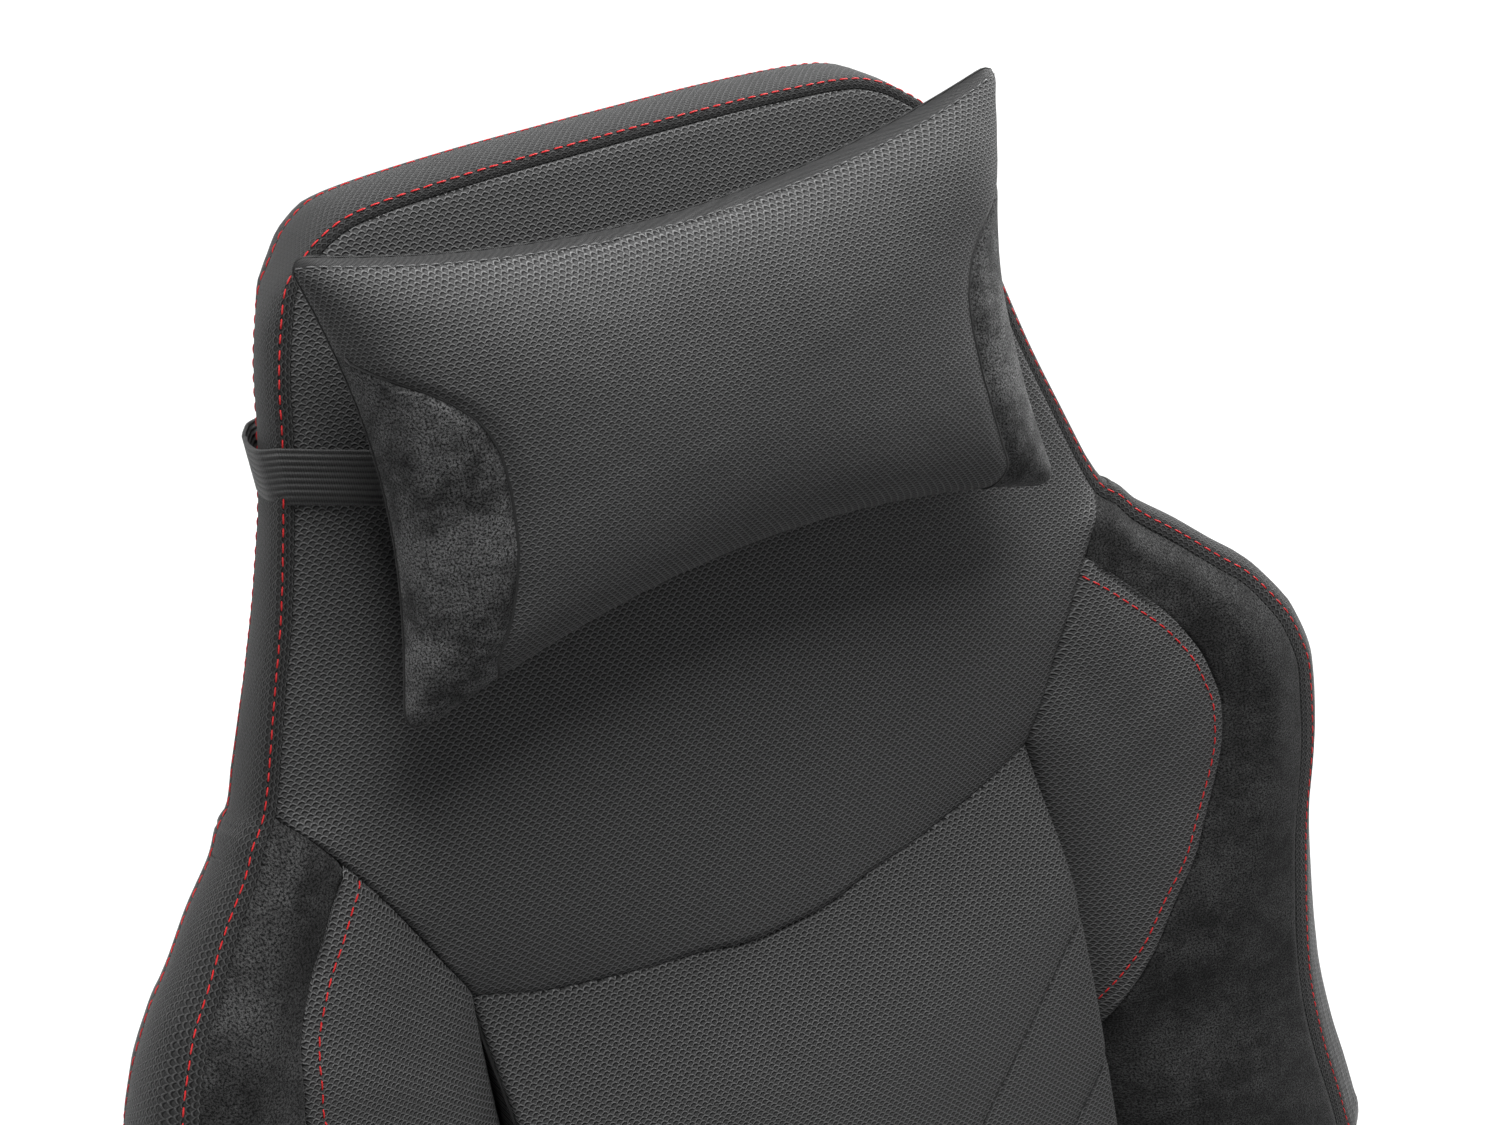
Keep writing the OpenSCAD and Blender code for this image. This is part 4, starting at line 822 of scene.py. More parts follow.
def seam_part(curve, start, end):
    """The part of a curve between the points nearest two places."""
    i = int(np.argmin(np.hypot(*(curve[:, :2] - start).T)))
    j = int(np.argmin(np.hypot(*(curve[:, :2] - end).T)))
    return curve[i:j + 1]


suede_inner = smooth(SUEDE_INNER, 8)
suede_top = np.vstack([suede_inner[:1], seam_part(wing_seam, (186, 528), (205, 551))])
outer_side = crease_between((214, 4), (206, 551))
inner_side = np.vstack([smooth(ROOT_LOW, 6)[::-1], suede_inner[::-1]])
foot_line = np.vstack([inner_side[:1], [(180, 3, 18), tuple(outer_side[0])]])
wing_suede = patch(foot_line, suede_top, inner_side, outer_side, 40, 150)
u = np.linspace(0, 1, 41)[None, :]
low_part = np.clip((300 - wing_suede[..., 1]) / 60, 0, 1)
climb = (1 - (1 - u) ** 4.0) - u
gap = wing_suede[:, -1:, 2] - wing_suede[:, :1, 2]
wing_suede[..., 2] += low_part * gap * climb
from_edge = edge_distance(wing_suede)
wing_suede[..., 2] += WING_PAD * (1 - np.exp(-from_edge / 16)) * (1 - 0.5 * low_part)
wing_suede = roll_edges(waves(wing_suede, 1.2, 45, 4.1), 2.2, 0.7)

leaf_seam = seam_part(wing_seam, (144, 443), (184, 525))
leaf_right = suede_inner[::-1]
leaf_low = np.array([GROOVE[0], suede_inner[-1] + [0.4, 0, 0]])
leaf = patch(leaf_low, np.vstack([leaf_seam, suede_inner[:1]]), smooth(GROOVE, 8), leaf_right, 36, 80)
from_edge = edge_distance(leaf)
leaf[..., 2] += LEAF_PAD * (1 - np.exp(-from_edge / 12)) + 1.5
leaf = roll_edges(waves(leaf, 0.6, 45, 9.2), 3.6, 2.6)

for word, turn in (("left", np.asarray), ("right", mirrored)):
    shell = cushion("wing_suede_" + word, turn(wing_suede), 6, suede, "back",
                    inset=0.12, planar=1.05)
    inner = cushion("wing_knit_" + word, turn(leaf), 5, knit, "back",
                    inset=0.05, planar=1.12)
    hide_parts("wing_" + word)
    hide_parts("wing_" + word)
print("wings:", wing_suede.shape[:2], "and", leaf.shape[:2])

# %% [markdown]
# The lumbar block stands proud of the wings. Chevron channels are quilted into it with black
# thread: each falls towards the middle, and the foam swells between them. Cutting them with
# booleans would leave sharp walls, so each channel is a rounded valley subtracted from the
# surface. The cloth simulation then swells the cloth while its seams and channels are pinned.

# %% Lumbar block
CHEVRON_TOP = 229.0
CHEVRON_PITCH = 77.0
CHEVRON_RISE = 0.9
CHANNEL_DEPTH = 1.4
CHANNEL_HALF = 7.0
HALF_BLOCK = 144.0
BLOCK_FOOT = -6.0


def chevron_distance(x, v):
    """Distance from the nearest chevron line."""
    p = v - CHEVRON_RISE * np.abs(x)
    k = np.maximum(0, np.round((CHEVRON_TOP - p) / CHEVRON_PITCH))
    return np.abs(p - (CHEVRON_TOP - k * CHEVRON_PITCH)) / math.hypot(1, CHEVRON_RISE)


def ease(t):
    """A soft step from 0 to 1."""
    t = np.clip(t, 0, 1)
    return t * t * (3 - 2 * t)


def block_surface(x, v, top):
    """Height of the block's front at a place below its top seam."""
    from_top = top - v
    rise = 13 * ease(from_top / 75) + 15.6 * np.sin(math.pi / 2 * np.clip(from_top / 170, 0, 1))
    foot = 20 * (1 - np.sqrt(1 - np.clip((58 - v) / 70, 0, 1) ** 2))
    crown = 8 * (1 - (x / HALF_BLOCK) ** 2)
    deep = CHANNEL_DEPTH * np.clip(1 - chevron_distance(x, v) / CHANNEL_HALF, 0, 1) ** 2
    return 20.5 + rise + crown - foot - deep * np.clip(from_top / 30, 0, 1)


cols, rows = 96, 150
top_run = even(block_top, cols + 1)
us = top_run[:, 0] * (HALF_BLOCK / 143)
share = np.linspace(0, 1, rows + 1)[:, None]
block_v = BLOCK_FOOT + (top_run[None, :, 1] - 1.2 - BLOCK_FOOT) * share
block_x = np.repeat(us[None], rows + 1, axis=0)
block = np.stack([block_x, block_v, block_surface(block_x, block_v, top_run[None, :, 1])], axis=2)
block = roll_edges(waves(block, 0.5, 60, 12.4), 2.6, 1.4)
lumbar = cushion("lumbar_block_knit", block, 4.6, knit, "back")
sewn = np.ones(len(lumbar.data.vertices), bool)          # walls and rear are held too
sewn[:block_x.size] = ((chevron_distance(block_x, block_v) < 1.6) | (edge_distance(block) < 3.5)).ravel()
inflate(lumbar, np.flatnonzero(sewn), 0.0022)
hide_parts("lumbar_block")
print("lumbar block:", block.shape[:2])

# %% [markdown]
# ## Stitches
# A stitch is a short tilted capsule of thread that dips into the cloth at both ends. An Array
# modifier on a curve would space them all alike and couldn't turn each one to the cloth, so one
# capsule of a few dozen faces is copied along each seam line in code, a little unevenly, as a
# machine does it. All stitches of one thread make one piece.

# %% Stitch lines
STITCH_PITCH = 5.5
STITCH_LENGTH = 3.9
STITCH_THICK = 0.68
STITCH_ARCH = 0.35          # how far its middle stands above its ends


def capsule(sides=6):
    """A unit capsule along x: rings of (x, radius), then closed poles."""
    profile = [(-0.46, 0.55), (-0.34, 0.9), (0.0, 1.0), (0.34, 0.9), (0.46, 0.55)]
    turns = [math.tau * k / sides for k in range(sides)]
    verts = [(-0.5, 0, 0)]
    verts += [(x, r * math.cos(a), r * math.sin(a)) for x, r in profile for a in turns]
    verts.append((0.5, 0, 0))
    last = len(verts) - 1
    end = last - sides                      # first point of the last ring
    faces = [(0, 1 + (k + 1) % sides, 1 + k) for k in range(sides)]
    faces += [tuple(1 + i for i in face) for face in grid_faces(len(profile), sides, wrap=True)]
    faces += [(last, end + k, end + (k + 1) % sides) for k in range(sides)]
    return np.array(verts), faces


CAPSULE = capsule()


def stitches(curve, up, pitch=STITCH_PITCH, length=STITCH_LENGTH, thick=STITCH_THICK, lift=0.1):
    """Points and faces of capsules along a curve that has the given surface normals."""
    run = run_lengths(curve)
    row = []
    total = max(1, int(run[-1] / pitch))
    for k in range(total):
        middle = (k + 0.5) * run[-1] / total + rng.uniform(-0.2, 0.2)
        long = length * rng.uniform(0.94, 1.05)
        a, b = at_lengths(curve, run, [middle - long / 2, middle + long / 2])
        normal = at_lengths(up, run, [middle])[0]
        normal = normal / np.linalg.norm(normal)
        axis = b - a
        axis /= np.linalg.norm(axis)
        side = np.cross(normal, axis)
        side /= np.linalg.norm(side)
        up_axis = np.cross(axis, side)
        axis = axis + side * rng.uniform(-0.05, 0.05)
        p = CAPSULE[0]
        arch = (1 - (2 * p[:, :1]) ** 2) * STITCH_ARCH
        placed = ((a + b) / 2 + p[:, :1] * long * axis + p[:, 1:2] * side * thick / 2
                  + (p[:, 2:3] * thick / 2 * 0.8 + lift + arch) * up_axis)
        row.append((placed, CAPSULE[1]))
    return join(row)


def sew(name, lines, material, body, slot, to_world=back_world, **options):
    """Sews several lines, each a pair of a curve and its surface normals, as one piece."""
    verts, faces = join([stitches(curve, up, **options) for curve, up in lines])
    outward(new_object(name, to_world(verts), faces, None, material, body))
    print(name, len(faces) // len(CAPSULE[1]), "stitches")


def both_sides(line, up):
    """A stitch line and its mirror image."""
    return [(line, up), (mirrored(line), mirrored(up))]


def ring_line(row):
    """A line along one row of the band's rings, with the skin's normals there."""
    line = rings[:, row]
    along_it = np.gradient(line, axis=0)
    across_it = rings[:, row + 1] - rings[:, row - 1]
    up = np.cross(across_it, along_it)
    up *= np.sign((up * np.concatenate([normals, np.ones((len(normals), 1))], axis=1)).sum(axis=1))[:, None]
    return line, up


visible = half_edge[:, 1] > 30
lines = []
for row in (front_row, rear_row):
    line, up = ring_line(row)
    lines += both_sides(line[visible], up[visible])
sew("band_stitches", lines, red_thread, "back", "knit_fabric", lift=0.25)

# %% [markdown]
# The knit leaf of each wing carries a row of red stitches beside its seam with the suede. The
# line is found on the leaf's own surface, a few millimetres inside the seam.

# %% Lines on a surface
def on_surface(grid, points):
    """Lifts points seen from the front to a grid's surface: their places and normals."""
    flat = grid.reshape(-1, 3)
    d_row = np.gradient(grid, axis=0).reshape(-1, 3)
    d_col = np.gradient(grid, axis=1).reshape(-1, 3)
    normal = np.cross(d_col, d_row)
    normal *= np.sign(normal[:, 2:3])
    normal /= np.linalg.norm(normal, axis=1)[:, None] + 1e-12
    placed, ups = [], []
    for p in np.asarray(points, float):
        d = np.hypot(flat[:, 0] - p[0], flat[:, 1] - p[1])
        near = np.argsort(d)[:4]
        weight = 1 / (d[near] + 0.05)
        weight /= weight.sum()
        normal_here = weight @ normal[near]
        origin = weight @ flat[near]
        n = origin[2] - (normal_here[:2] @ (p[:2] - origin[:2])) / max(normal_here[2], 0.2)
        placed.append((p[0], p[1], n))
        ups.append(normal_here)
    return np.array(placed), np.array(ups)


def beside(curve, distance, count):
    """A curve seen from the front, moved sideways and spaced evenly; positive is to its left."""
    c = even(np.asarray(curve, float)[:, :2], count)
    t = np.gradient(c, axis=0)
    t /= np.linalg.norm(t, axis=1)[:, None]
    return c + distance * np.stack([-t[:, 1], t[:, 0]], axis=1)


LEAF_STITCH_IN = 6.4
leaf_line = beside(suede_inner[:-14], -LEAF_STITCH_IN, 124)
sew("wing_stitches", both_sides(*on_surface(leaf, leaf_line)), red_thread, "back", "knit_fabric",
    thick=0.75, lift=0.25)

# %% [markdown]
# The chevrons are sewn with black thread at the bottom of their channels, with a longer stitch
# because the machine pulls through the whole foam.

# %% Chevron stitches
def chevron_lines(surface, points, reach, low, high):
    """Lines up both arms of the chevrons that point at the given heights, cut off low and high."""
    lines = []
    for point in points:
        out_to = np.linspace(1.5, reach, 50)
        up_to = point + CHEVRON_RISE * out_to
        inside = (up_to > low) & (up_to < high)
        if inside.sum() > 4:
            lines += both_sides(*on_surface(surface, np.stack([out_to, up_to], axis=1)[inside]))
    return lines


lines = chevron_lines(block, [CHEVRON_TOP - k * CHEVRON_PITCH for k in range(4)], HALF_BLOCK - 3, 20, 430)
sew("chevron_stitches", lines, black_thread, "back", "knit_fabric",
    pitch=6.0, length=4.6, thick=0.9, lift=0.3)

# %% [markdown]
# ## Head pillow
# A pillow is panels sewn round their rim, so its sides pull in and its corners stay out. The
# front has suede ends, let in along a seam that runs out of the side. A cube blown up as cloth
# would leave that seam to chance, so the grid's columns follow it, which keeps it sharp, and the
# faces beyond it take another material slot. `u` runs across the pillow and `t` up it.

# %% Pillow shape
PILLOW_HALF = 156.0
PILLOW_FOOT = 574.0
PILLOW_HEAD = 759.0
FRONT_SWELL, REAR_SWELL = 42.0, 23.0
ENDS = [(158, 731), (150, 725.5), (143, 719.5), (133, 711), (120, 702), (110, 692), (105, 682),
        (103, 668), (104, 645), (106.5, 632), (109.5, 620), (114, 608), (118, 598), (116, 588)]
END_TOP = 720.5             # height where the seam meets the rim
TOP_STRIP = 0.987           # share of the height where the strip along the top begins
WIDEST_CUT = 0.992          # the seam's columns stay inside this share of the half width
end_line = smooth(ENDS, 10)


def pillow_point(u, t):
    """Place on the rim sheet: u across from -1 to 1, t up from 0 to 1."""
    half = (PILLOW_HALF - 2.5 * t) * (1 - 0.11 * np.sin(math.pi * t) ** 0.9)
    low = PILLOW_FOOT + 26 * (1 - u * u)
    high = PILLOW_HEAD - 24 * (1 - u * u)
    return u * half, low + (high - low) * t


def swell(u, t):
    """How full the pillow is: 0 at its rim, 1 in the middle."""
    return np.sqrt(np.clip(1 - np.abs(u) ** 5, 0, 1)) * np.sqrt(np.clip(1 - np.abs(2 * t - 1) ** 3.0, 0, 1))


def round_corners(u, t):
    """Turns the corners of the rim sheet into quarter circles, wider ones at the foot."""
    radius = np.where(t < 0.5, 13.0, 9.0)
    height = PILLOW_HEAD - PILLOW_FOOT
    a = np.clip(1 - (1 - np.abs(u)) * PILLOW_HALF / radius, 0, 1)
    b = np.clip(1 - np.minimum(t, 1 - t) * height / radius, 0, 1)
    side = np.sign(u) * (1 - (1 - a * np.sqrt(1 - b * b / 2)) * radius / PILLOW_HALF)
    edge = (1 - b * np.sqrt(1 - a * a / 2)) * radius / height
    return np.where(a > 0, side, u), np.where(b > 0, np.where(t < 0.5, edge, 1 - edge), t)


def rim_n(u, t):
    """The rim curls towards the viewer at the corners."""
    return 53 + 3 * t + 5 * np.abs(u) ** 3 * np.abs(2 * t - 1) ** 2


inner_cols, end_cols = 76, 18
ease_in = np.sin(np.linspace(0, math.pi / 2, 8)) ** 2 * 0.05      # finer rows next to the rim
climb = 1 - (1 - np.linspace(0, 1, 68)) ** 1.3
ts = np.concatenate([ease_in, 0.06 + (TOP_STRIP - 0.065) * climb,
                     1 - ease_in[::-1] * (1 - TOP_STRIP) / 0.05])
us = np.linspace(0, 1, 401)
rim_steps = 1 - (1 - np.linspace(0, 1, end_cols + 1)) ** 1.6
front = []
for t in ts:
    xs, vs = pillow_point(us, t)
    beyond = us[xs >= np.interp(vs, end_line[::-1, 1], end_line[::-1, 0])]
    cut = min(beyond[0], WIDEST_CUT) if len(beyond) else WIDEST_CUT
    end = cut + (1 - cut) * rim_steps
    front.append(np.stack([np.concatenate([-end[::-1], np.linspace(-cut, cut, inner_cols + 1)[1:-1], end]),
                           np.full(inner_cols + 2 * end_cols + 1, t)], axis=1))
front = np.array(front)
u, t = front[..., 0], front[..., 1]
x, v = pillow_point(*round_corners(u, t))
full = swell(u, t)
cut_u = np.abs(front[:, end_cols, 0])[:, None]
seam_gap = np.abs(np.abs(u) - cut_u) * PILLOW_HALF
has_end = pillow_point(np.ones_like(t), t)[1] < END_TOP
seam_dip = 2.2 * np.exp(-(seam_gap / 3.5) ** 2) * np.clip(full * 2, 0, 1) * has_end
face = np.stack([x, v, rim_n(u, t) + (FRONT_SWELL * full - seam_dip)], axis=2)
back_face = np.stack([x, v, rim_n(u, t) - REAR_SWELL * full], axis=2)
for index in np.ndindex(face.shape[:2]):
    px, pv, _ = face[index]
    push = 2.4 * lump(px / 60 + 3, pv / 50, 0.3) + 0.5 * lump(px / 18, pv / 15 + 5, 2.0)
    push *= min(1, full[index] * 1.5)
    face[index][2] += push
    back_face[index][2] -= 0.5 * push
print("pillow front:", face.shape[:2], "points")

# %% [markdown]
# Front and rear share the rim. The closed pillow is then blown up with the cloth simulation
# while its seams are held, which gives the small uneven folds beside them.

# %% Pillow mesh
r, c = face.shape[:2]
front_index = np.arange(r * c).reshape(r, c)
rear_index = front_index.copy()
rear_index[1:-1, 1:-1] = r * c + np.arange((r - 2) * (c - 2)).reshape(r - 2, c - 2)
pillow_verts = np.vstack([face.reshape(-1, 3), back_face[1:-1, 1:-1].reshape(-1, 3)])
face_uv = cloth_uv(face)
pillow_uv = np.vstack([face_uv.reshape(-1, 2), face_uv[1:-1, 1:-1].reshape(-1, 2)])
KNIT_SLOT, SUEDE_SLOT, LINING_SLOT = range(3)
pillow_faces, slots = [], []
for i, j in np.ndindex(r - 1, c - 1):
    corners = [(i, j), (i, j + 1), (i + 1, j + 1), (i + 1, j)]
    pillow_faces.append([front_index[at] for at in corners])
    pillow_faces.append([rear_index[at] for at in (corners[0], *corners[:0:-1])])
    at_end = (j < end_cols or j >= c - 1 - end_cols) and has_end[i, j] and has_end[i + 1, j]
    on_top = ts[i] >= TOP_STRIP - 0.006
    slots.append(SUEDE_SLOT if at_end else LINING_SLOT if on_top else KNIT_SLOT)
    slots.append(SUEDE_SLOT if at_end else LINING_SLOT)
pillow = new_object("head_pillow_cloth", back_world(pillow_verts), pillow_faces, pillow_uv,
                    pillow_knit, "pillow")
# The suede ends take the lighter copy of the suede, which is painted light.
pillow.data.materials.append(pillow_suede_painted_light)
pillow.data.materials.append(lining)
pillow.data.polygons.foreach_set("material_index", slots)
outward(pillow)
held = np.zeros((r, c), bool)
held[[0, -1]] = held[:, [0, -1]] = True
held[:, [end_cols, c - 1 - end_cols]] |= has_end[:, [end_cols, c - 1 - end_cols]]
inflate(pillow, front_index[held], 0.0045)
face = back_points(pillow)[:r * c].reshape(r, c, 3)      # the front once it is blown up
top_row = int(np.argmin(np.abs(ts - (TOP_STRIP - 0.005))))
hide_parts("head_pillow")
print("pillow:", len(pillow.data.polygons), "faces")

# %% [markdown]
# Seams that are meant to be seen have piping: a strip of cloth wrapped round a thin filler. It
# is drawn as a tube along the seam, with closed ends, round the pillow, beside its suede ends
# and down the sides of the block. The tube follows the points that the seam already has.

# %% Piping
def tube(path, radius, sides=8, closed=False):
    """Points and faces of a round tube along a path."""
    p = np.asarray(path, float)
    t = np.gradient(p, axis=0)
    if closed:
        t[0] = t[-1] = p[1] - p[-2]
    t /= np.linalg.norm(t, axis=1)[:, None]
    turns = np.linspace(0, math.tau, sides, endpoint=False)[:, None]
    verts = []
    for place, ahead_of in zip(p, t):
        side = np.cross(ahead_of, [0.0, 0.0, 1.0])
        side /= np.linalg.norm(side) + 1e-12
        top = np.cross(side, ahead_of)
        verts.append(place + radius * (np.cos(turns) * side + np.sin(turns) * top))
    faces = grid_faces(len(p), sides, wrap=True, ring=closed)
    if not closed:
        faces.append(tuple(range(sides - 1, -1, -1)))
        faces.append(tuple((len(p) - 1) * sides + k for k in range(sides)))
    return np.vstack(verts), faces


def piping(name, paths, radius, material, body, closed=False, to_world=back_world):
    """Piping along one or more paths, as one piece."""
    verts, faces = join([tube(path, radius, closed=closed) for path in paths])
    along_uv = np.repeat(np.arange(len(verts) // 8) * 2.0, 8)
    round_uv = np.tile(np.arange(8) * radius * 0.8, len(verts) // 8)
    uvs = np.stack([along_uv, round_uv], axis=1) / CLOTH_UNIT
    outward(new_object(name, to_world(verts), faces, uvs, material, body))
    print(name, len(faces), "faces")


seam_rows = np.flatnonzero(has_end[:, 0])[1:]
seam_lines = [face[seam_rows, k] - [0, 0, 0.15] for k in (end_cols, c - 1 - end_cols)]
piping("pillow_piping", seam_lines, 0.7, black_thread, "pillow")
rim = border(face)
piping("pillow_welt", [even(np.vstack([rim, rim[:1]]), 420)[:-1]], 0.6, lining, "pillow",
       closed=True)
block_side = [block[2:-1, k] + [side * 0.9, 0, -3.6] for side, k in ((-1, 0), (1, -1))]
piping("block_piping", block_side, 0.8, lining, "back")
ups = np.cross(np.gradient(face, axis=1), np.gradient(face, axis=0))
sew("pillow_stitches", [(face[top_row, 2:-2], ups[top_row, 2:-2])], grey_thread, "pillow",
    "lining_cloth", pitch=4.4, length=3.3, thick=0.6, lift=0.15)

# %% [markdown]
# The pillow hangs on a ribbed elastic strap that loops round the head of the back. A bevelled
# curve would twist at the corners, so the strap is a narrow section carried along its path with
# its width always up the back. The path keeps a set distance from the band's own ring there.

# %% Strap
STRAP_HALF = 11.0           # half its width
STRAP_THICK = 1.6
STRAP_AT = 675.5
STRAP_DROP = 10.5           # the ends behind the pillow sit this much lower
strap_at = int(np.argmin(np.abs(half_edge[:, 1] - 671)))
strap_ring = rings[strap_at, front_row + 1:-2]
off = 0.9 + STRAP_THICK / 2
around = smooth([(strap_ring[0, 0] - 2, 0, strap_ring[0, 2] + off + 0.4)]
                + [(p[0] + off * math.cos(a), 0, p[2] + off * math.sin(a))
                   for p, a in zip(strap_ring[2::2], np.linspace(1.1, -1.2, len(strap_ring[2::2])))]
                + [(strap_ring[-1, 0] - 6, 0, BAND_REAR - off - 2.2)], 5)
behind_pillow = smooth([(112, 0, 32), (128, 0, 31), (146, 0, 27.5)], 5)
across_rear = [(60, 0, BAND_REAR - off - 4.6), (0, 0, BAND_REAR - off - 4.8)]
half_path = even(np.vstack([behind_pillow, around, across_rear]), 110)
fall = np.clip((163 - half_path[:, 0]) / 35, 0, 1) * (half_path[:, 2] > 0)
half_path[:, 1] = STRAP_AT - STRAP_DROP * fall
path = np.vstack([half_path, mirrored(half_path[-2::-1])])
flow = np.gradient(path, axis=0)
flow /= np.linalg.norm(flow, axis=1)[:, None]
out = np.cross(flow, [0, 1, 0])
out /= np.linalg.norm(out, axis=1)[:, None]
w, flat, h = STRAP_HALF, STRAP_HALF - 0.4, STRAP_THICK / 2
section = [(-w, -0.35), (-flat, -h), (0, -h), (flat, -h), (w, -0.35), (w, 0.35), (flat, h),
           (6, h), (0, h), (-6, h), (-flat, h), (-w, 0.35)]
strap_verts = np.array([[p + a * np.array([0, 1, 0]) + b * o for a, b in section]
                        for p, o in zip(path, out)])
run = run_lengths(path)
strap_uv = np.array([[(s, a + STRAP_HALF) for a, _ in section] for s in run]) / CLOTH_UNIT
m = len(section)
strap_faces = grid_faces(len(path), m, wrap=True)
strap_faces += [tuple(range(m)), tuple((len(path) - 1) * m + k for k in range(m))]
strap = new_object("pillow_strap_elastic", back_world(strap_verts).reshape(-1, 3), strap_faces,
                   strap_uv.reshape(-1, 2), elastic, "pillow")
outward(strap)
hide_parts("pillow_strap")
print("strap:", round(run[-1]), "mm of elastic")

# %% [markdown]
# ## Rear cover
# One sheet of the twill closes the back. It is stretched over the frame and sewn to the band's
# rear edge, so it is nearly flat with a slight belly. A cloth simulation would give no more than
# that, so its rows are cut from the band's edge and bellied by their distance from it.

# %% Rear cover
COVER_BELLY = 2.6
rear_edge = rings[:, -3, :2] - 1.2 * normals
low_v, high_v = rear_edge[:, 1].min() + 0.8, rear_edge[:, 1].max() - 0.8
rear_rows = []
for v_at in np.linspace(low_v, high_v, 150):
    crossing = []
    for a, b in zip(rear_edge[:-1], rear_edge[1:]):
        if (a[1] - v_at) * (b[1] - v_at) <= 0 and a[1] != b[1]:
            crossing.append(a[0] + (b[0] - a[0]) * (v_at - a[1]) / (b[1] - a[1]))
    reach = max(crossing)
    rear_rows.append([(x_at, v_at) for x_at in np.linspace(-reach, reach, 91)])
rear = np.array(rear_rows)
rear = np.concatenate([rear, np.zeros(rear.shape[:2] + (1,))], axis=2)
from_edge = edge_distance(rear)
rear[..., 2] = BAND_REAR - 0.4 - COVER_BELLY * (1 - np.exp(-from_edge / 40))
rear = waves(rear, 0.8, 90, 20.2)
rear = roll_edges(rear * [1, 1, -1], 5, 1.6) * [1, 1, -1]
cover_piece = cushion("rear_cover_cloth", rear, BAND_REAR + 1.8, twill, "back")
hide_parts("rear_cover")

# %% [markdown]
# ## Seat
# The seat is drawn in the model's own axes: x across, y rearwards and z up, in millimetres.
# Its outline is a rounded rectangle that narrows between the recliner brackets. The skirt, the
# foam and the piping all follow this one outline, so it is a function with an inset.

# %% Seat outline
SEAT_FRONT, SEAT_REAR = -297.0, 193.0
SEAT_HALF, SEAT_REAR_HALF = 262.0, 240.0
PANEL_HALF = 175.0
BASE_TOP = 62.0
CUSHION_TOP = 108.0
BOLSTER_TOP = 132.0
CORNER = 42.0
print("seat:", 2 * SEAT_HALF, "wide and", SEAT_REAR - SEAT_FRONT, "deep")


def seat_world(points):
    """Turns millimetres into metres."""
    return np.asarray(points, float) * MM


def seat_side(y):
    """Half the seat's width, without its round front corners."""
    return SEAT_HALF + (SEAT_REAR_HALF - SEAT_HALF) * ease((y + 40) / 70)


def arc_drop(t):
    """How far a quarter circle has fallen: 0 at t = 0, 1 at t = 1."""
    return 1 - np.sqrt(np.clip(1 - np.clip(t, 0, 1) ** 2, 0, 1))


def seat_half(y):
    """Half the seat's width with its round front corners."""
    return seat_side(y) - CORNER * arc_drop((SEAT_FRONT + CORNER - y) / CORNER)


def seat_loop(count=420, inset=0.0, rear_round=10.0):
    """The outline from the front centre round by the right side, evenly spaced."""
    def corner(x, y, radius, angles):
        a = np.radians(angles)
        return np.stack([x + (radius - inset) * np.cos(a), y + (radius - inset) * np.sin(a)], axis=1)

    front = corner(SEAT_HALF - CORNER, SEAT_FRONT + CORNER, CORNER, np.linspace(-90, 0, 24))
    ys = np.linspace(SEAT_FRONT + CORNER + 8, SEAT_REAR - rear_round, 60)
    side = np.stack([seat_side(ys) - inset, ys], axis=1)
    rear = corner(SEAT_REAR_HALF - rear_round, SEAT_REAR - rear_round, rear_round,
                  np.linspace(0, 90, 10)[1:])
    half = np.vstack([[(0, SEAT_FRONT + inset)], front, side, rear, [(0, SEAT_REAR - inset)]])
    loop = np.vstack([half, half[-2:0:-1] * [-1, 1]])
    return even(np.vstack([loop, loop[:1]]), count + 1)[:-1]


# %% [markdown]
# A cloth skirt closes the foam's side and hides the frame. It has a turned hem at its foot and
# swells a little between its seams. It is held at its top seam and its hem, so it can't hang
# free, and its section is carried round the outline instead of being simulated. The foam behind
# it is a plain slab that rests on the webbing.

# %% Skirt and foam
skirt_section = [                                # out and up, from the hem round to the inside
    (-0.8, 4.8), (0.0, 6.0), (0.0, 8.5), (-0.7, 9.6), (0.2, 12.0), (1.0, 22), (1.4, 34), (1.2, 46),
    (0.2, 56), (-1.4, 60.6), (-4.0, 61.9), (-9.0, 61.9), (-9.0, 59.5), (-3.4, 58.5), (-3.0, 30.0),
    (-3.0, 6.0), (-2.2, 4.8)]
loop = seat_loop()
flow = np.roll(loop, -1, axis=0) - np.roll(loop, 1, axis=0)
flow /= np.linalg.norm(flow, axis=1)[:, None]
facing = np.stack([flow[:, 1], -flow[:, 0]], axis=1)
free = 1 - ease((loop[:, 1] + 10) / 30)          # no swelling beside the brackets
skirt_rings = np.empty((len(loop), len(skirt_section), 3))
for j, (out, z) in enumerate(skirt_section):
    stand = out * free - 0.1 if out > 0 else np.full(len(loop), out)
    skirt_rings[:, j, :2] = loop + facing * stand[:, None]
    skirt_rings[:, j, 2] = z
for i, j in np.ndindex(skirt_rings.shape[:2]):
    px, py, pz = skirt_rings[i, j]
    drape = 0.5 * lump(px / 30, py / 30, pz / 60) * free[i]
    skirt_rings[i, j, :2] += facing[i] * (drape - 0.4)
run = run_lengths(loop)
height_run = run_lengths(np.array(skirt_section))
skirt_uv = np.stack(np.meshgrid(height_run, run), axis=2)[..., ::-1] / CLOTH_UNIT
skirt = new_object("seat_skirt", seat_world(skirt_rings).reshape(-1, 3),
                   grid_faces(*skirt_rings.shape[:2], wrap=True, ring=True),
                   skirt_uv.reshape(-1, 2), twill, "seat")
close_uv(skirt, run[-1] / CLOTH_UNIT)
outward(skirt)
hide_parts("seat_foam")

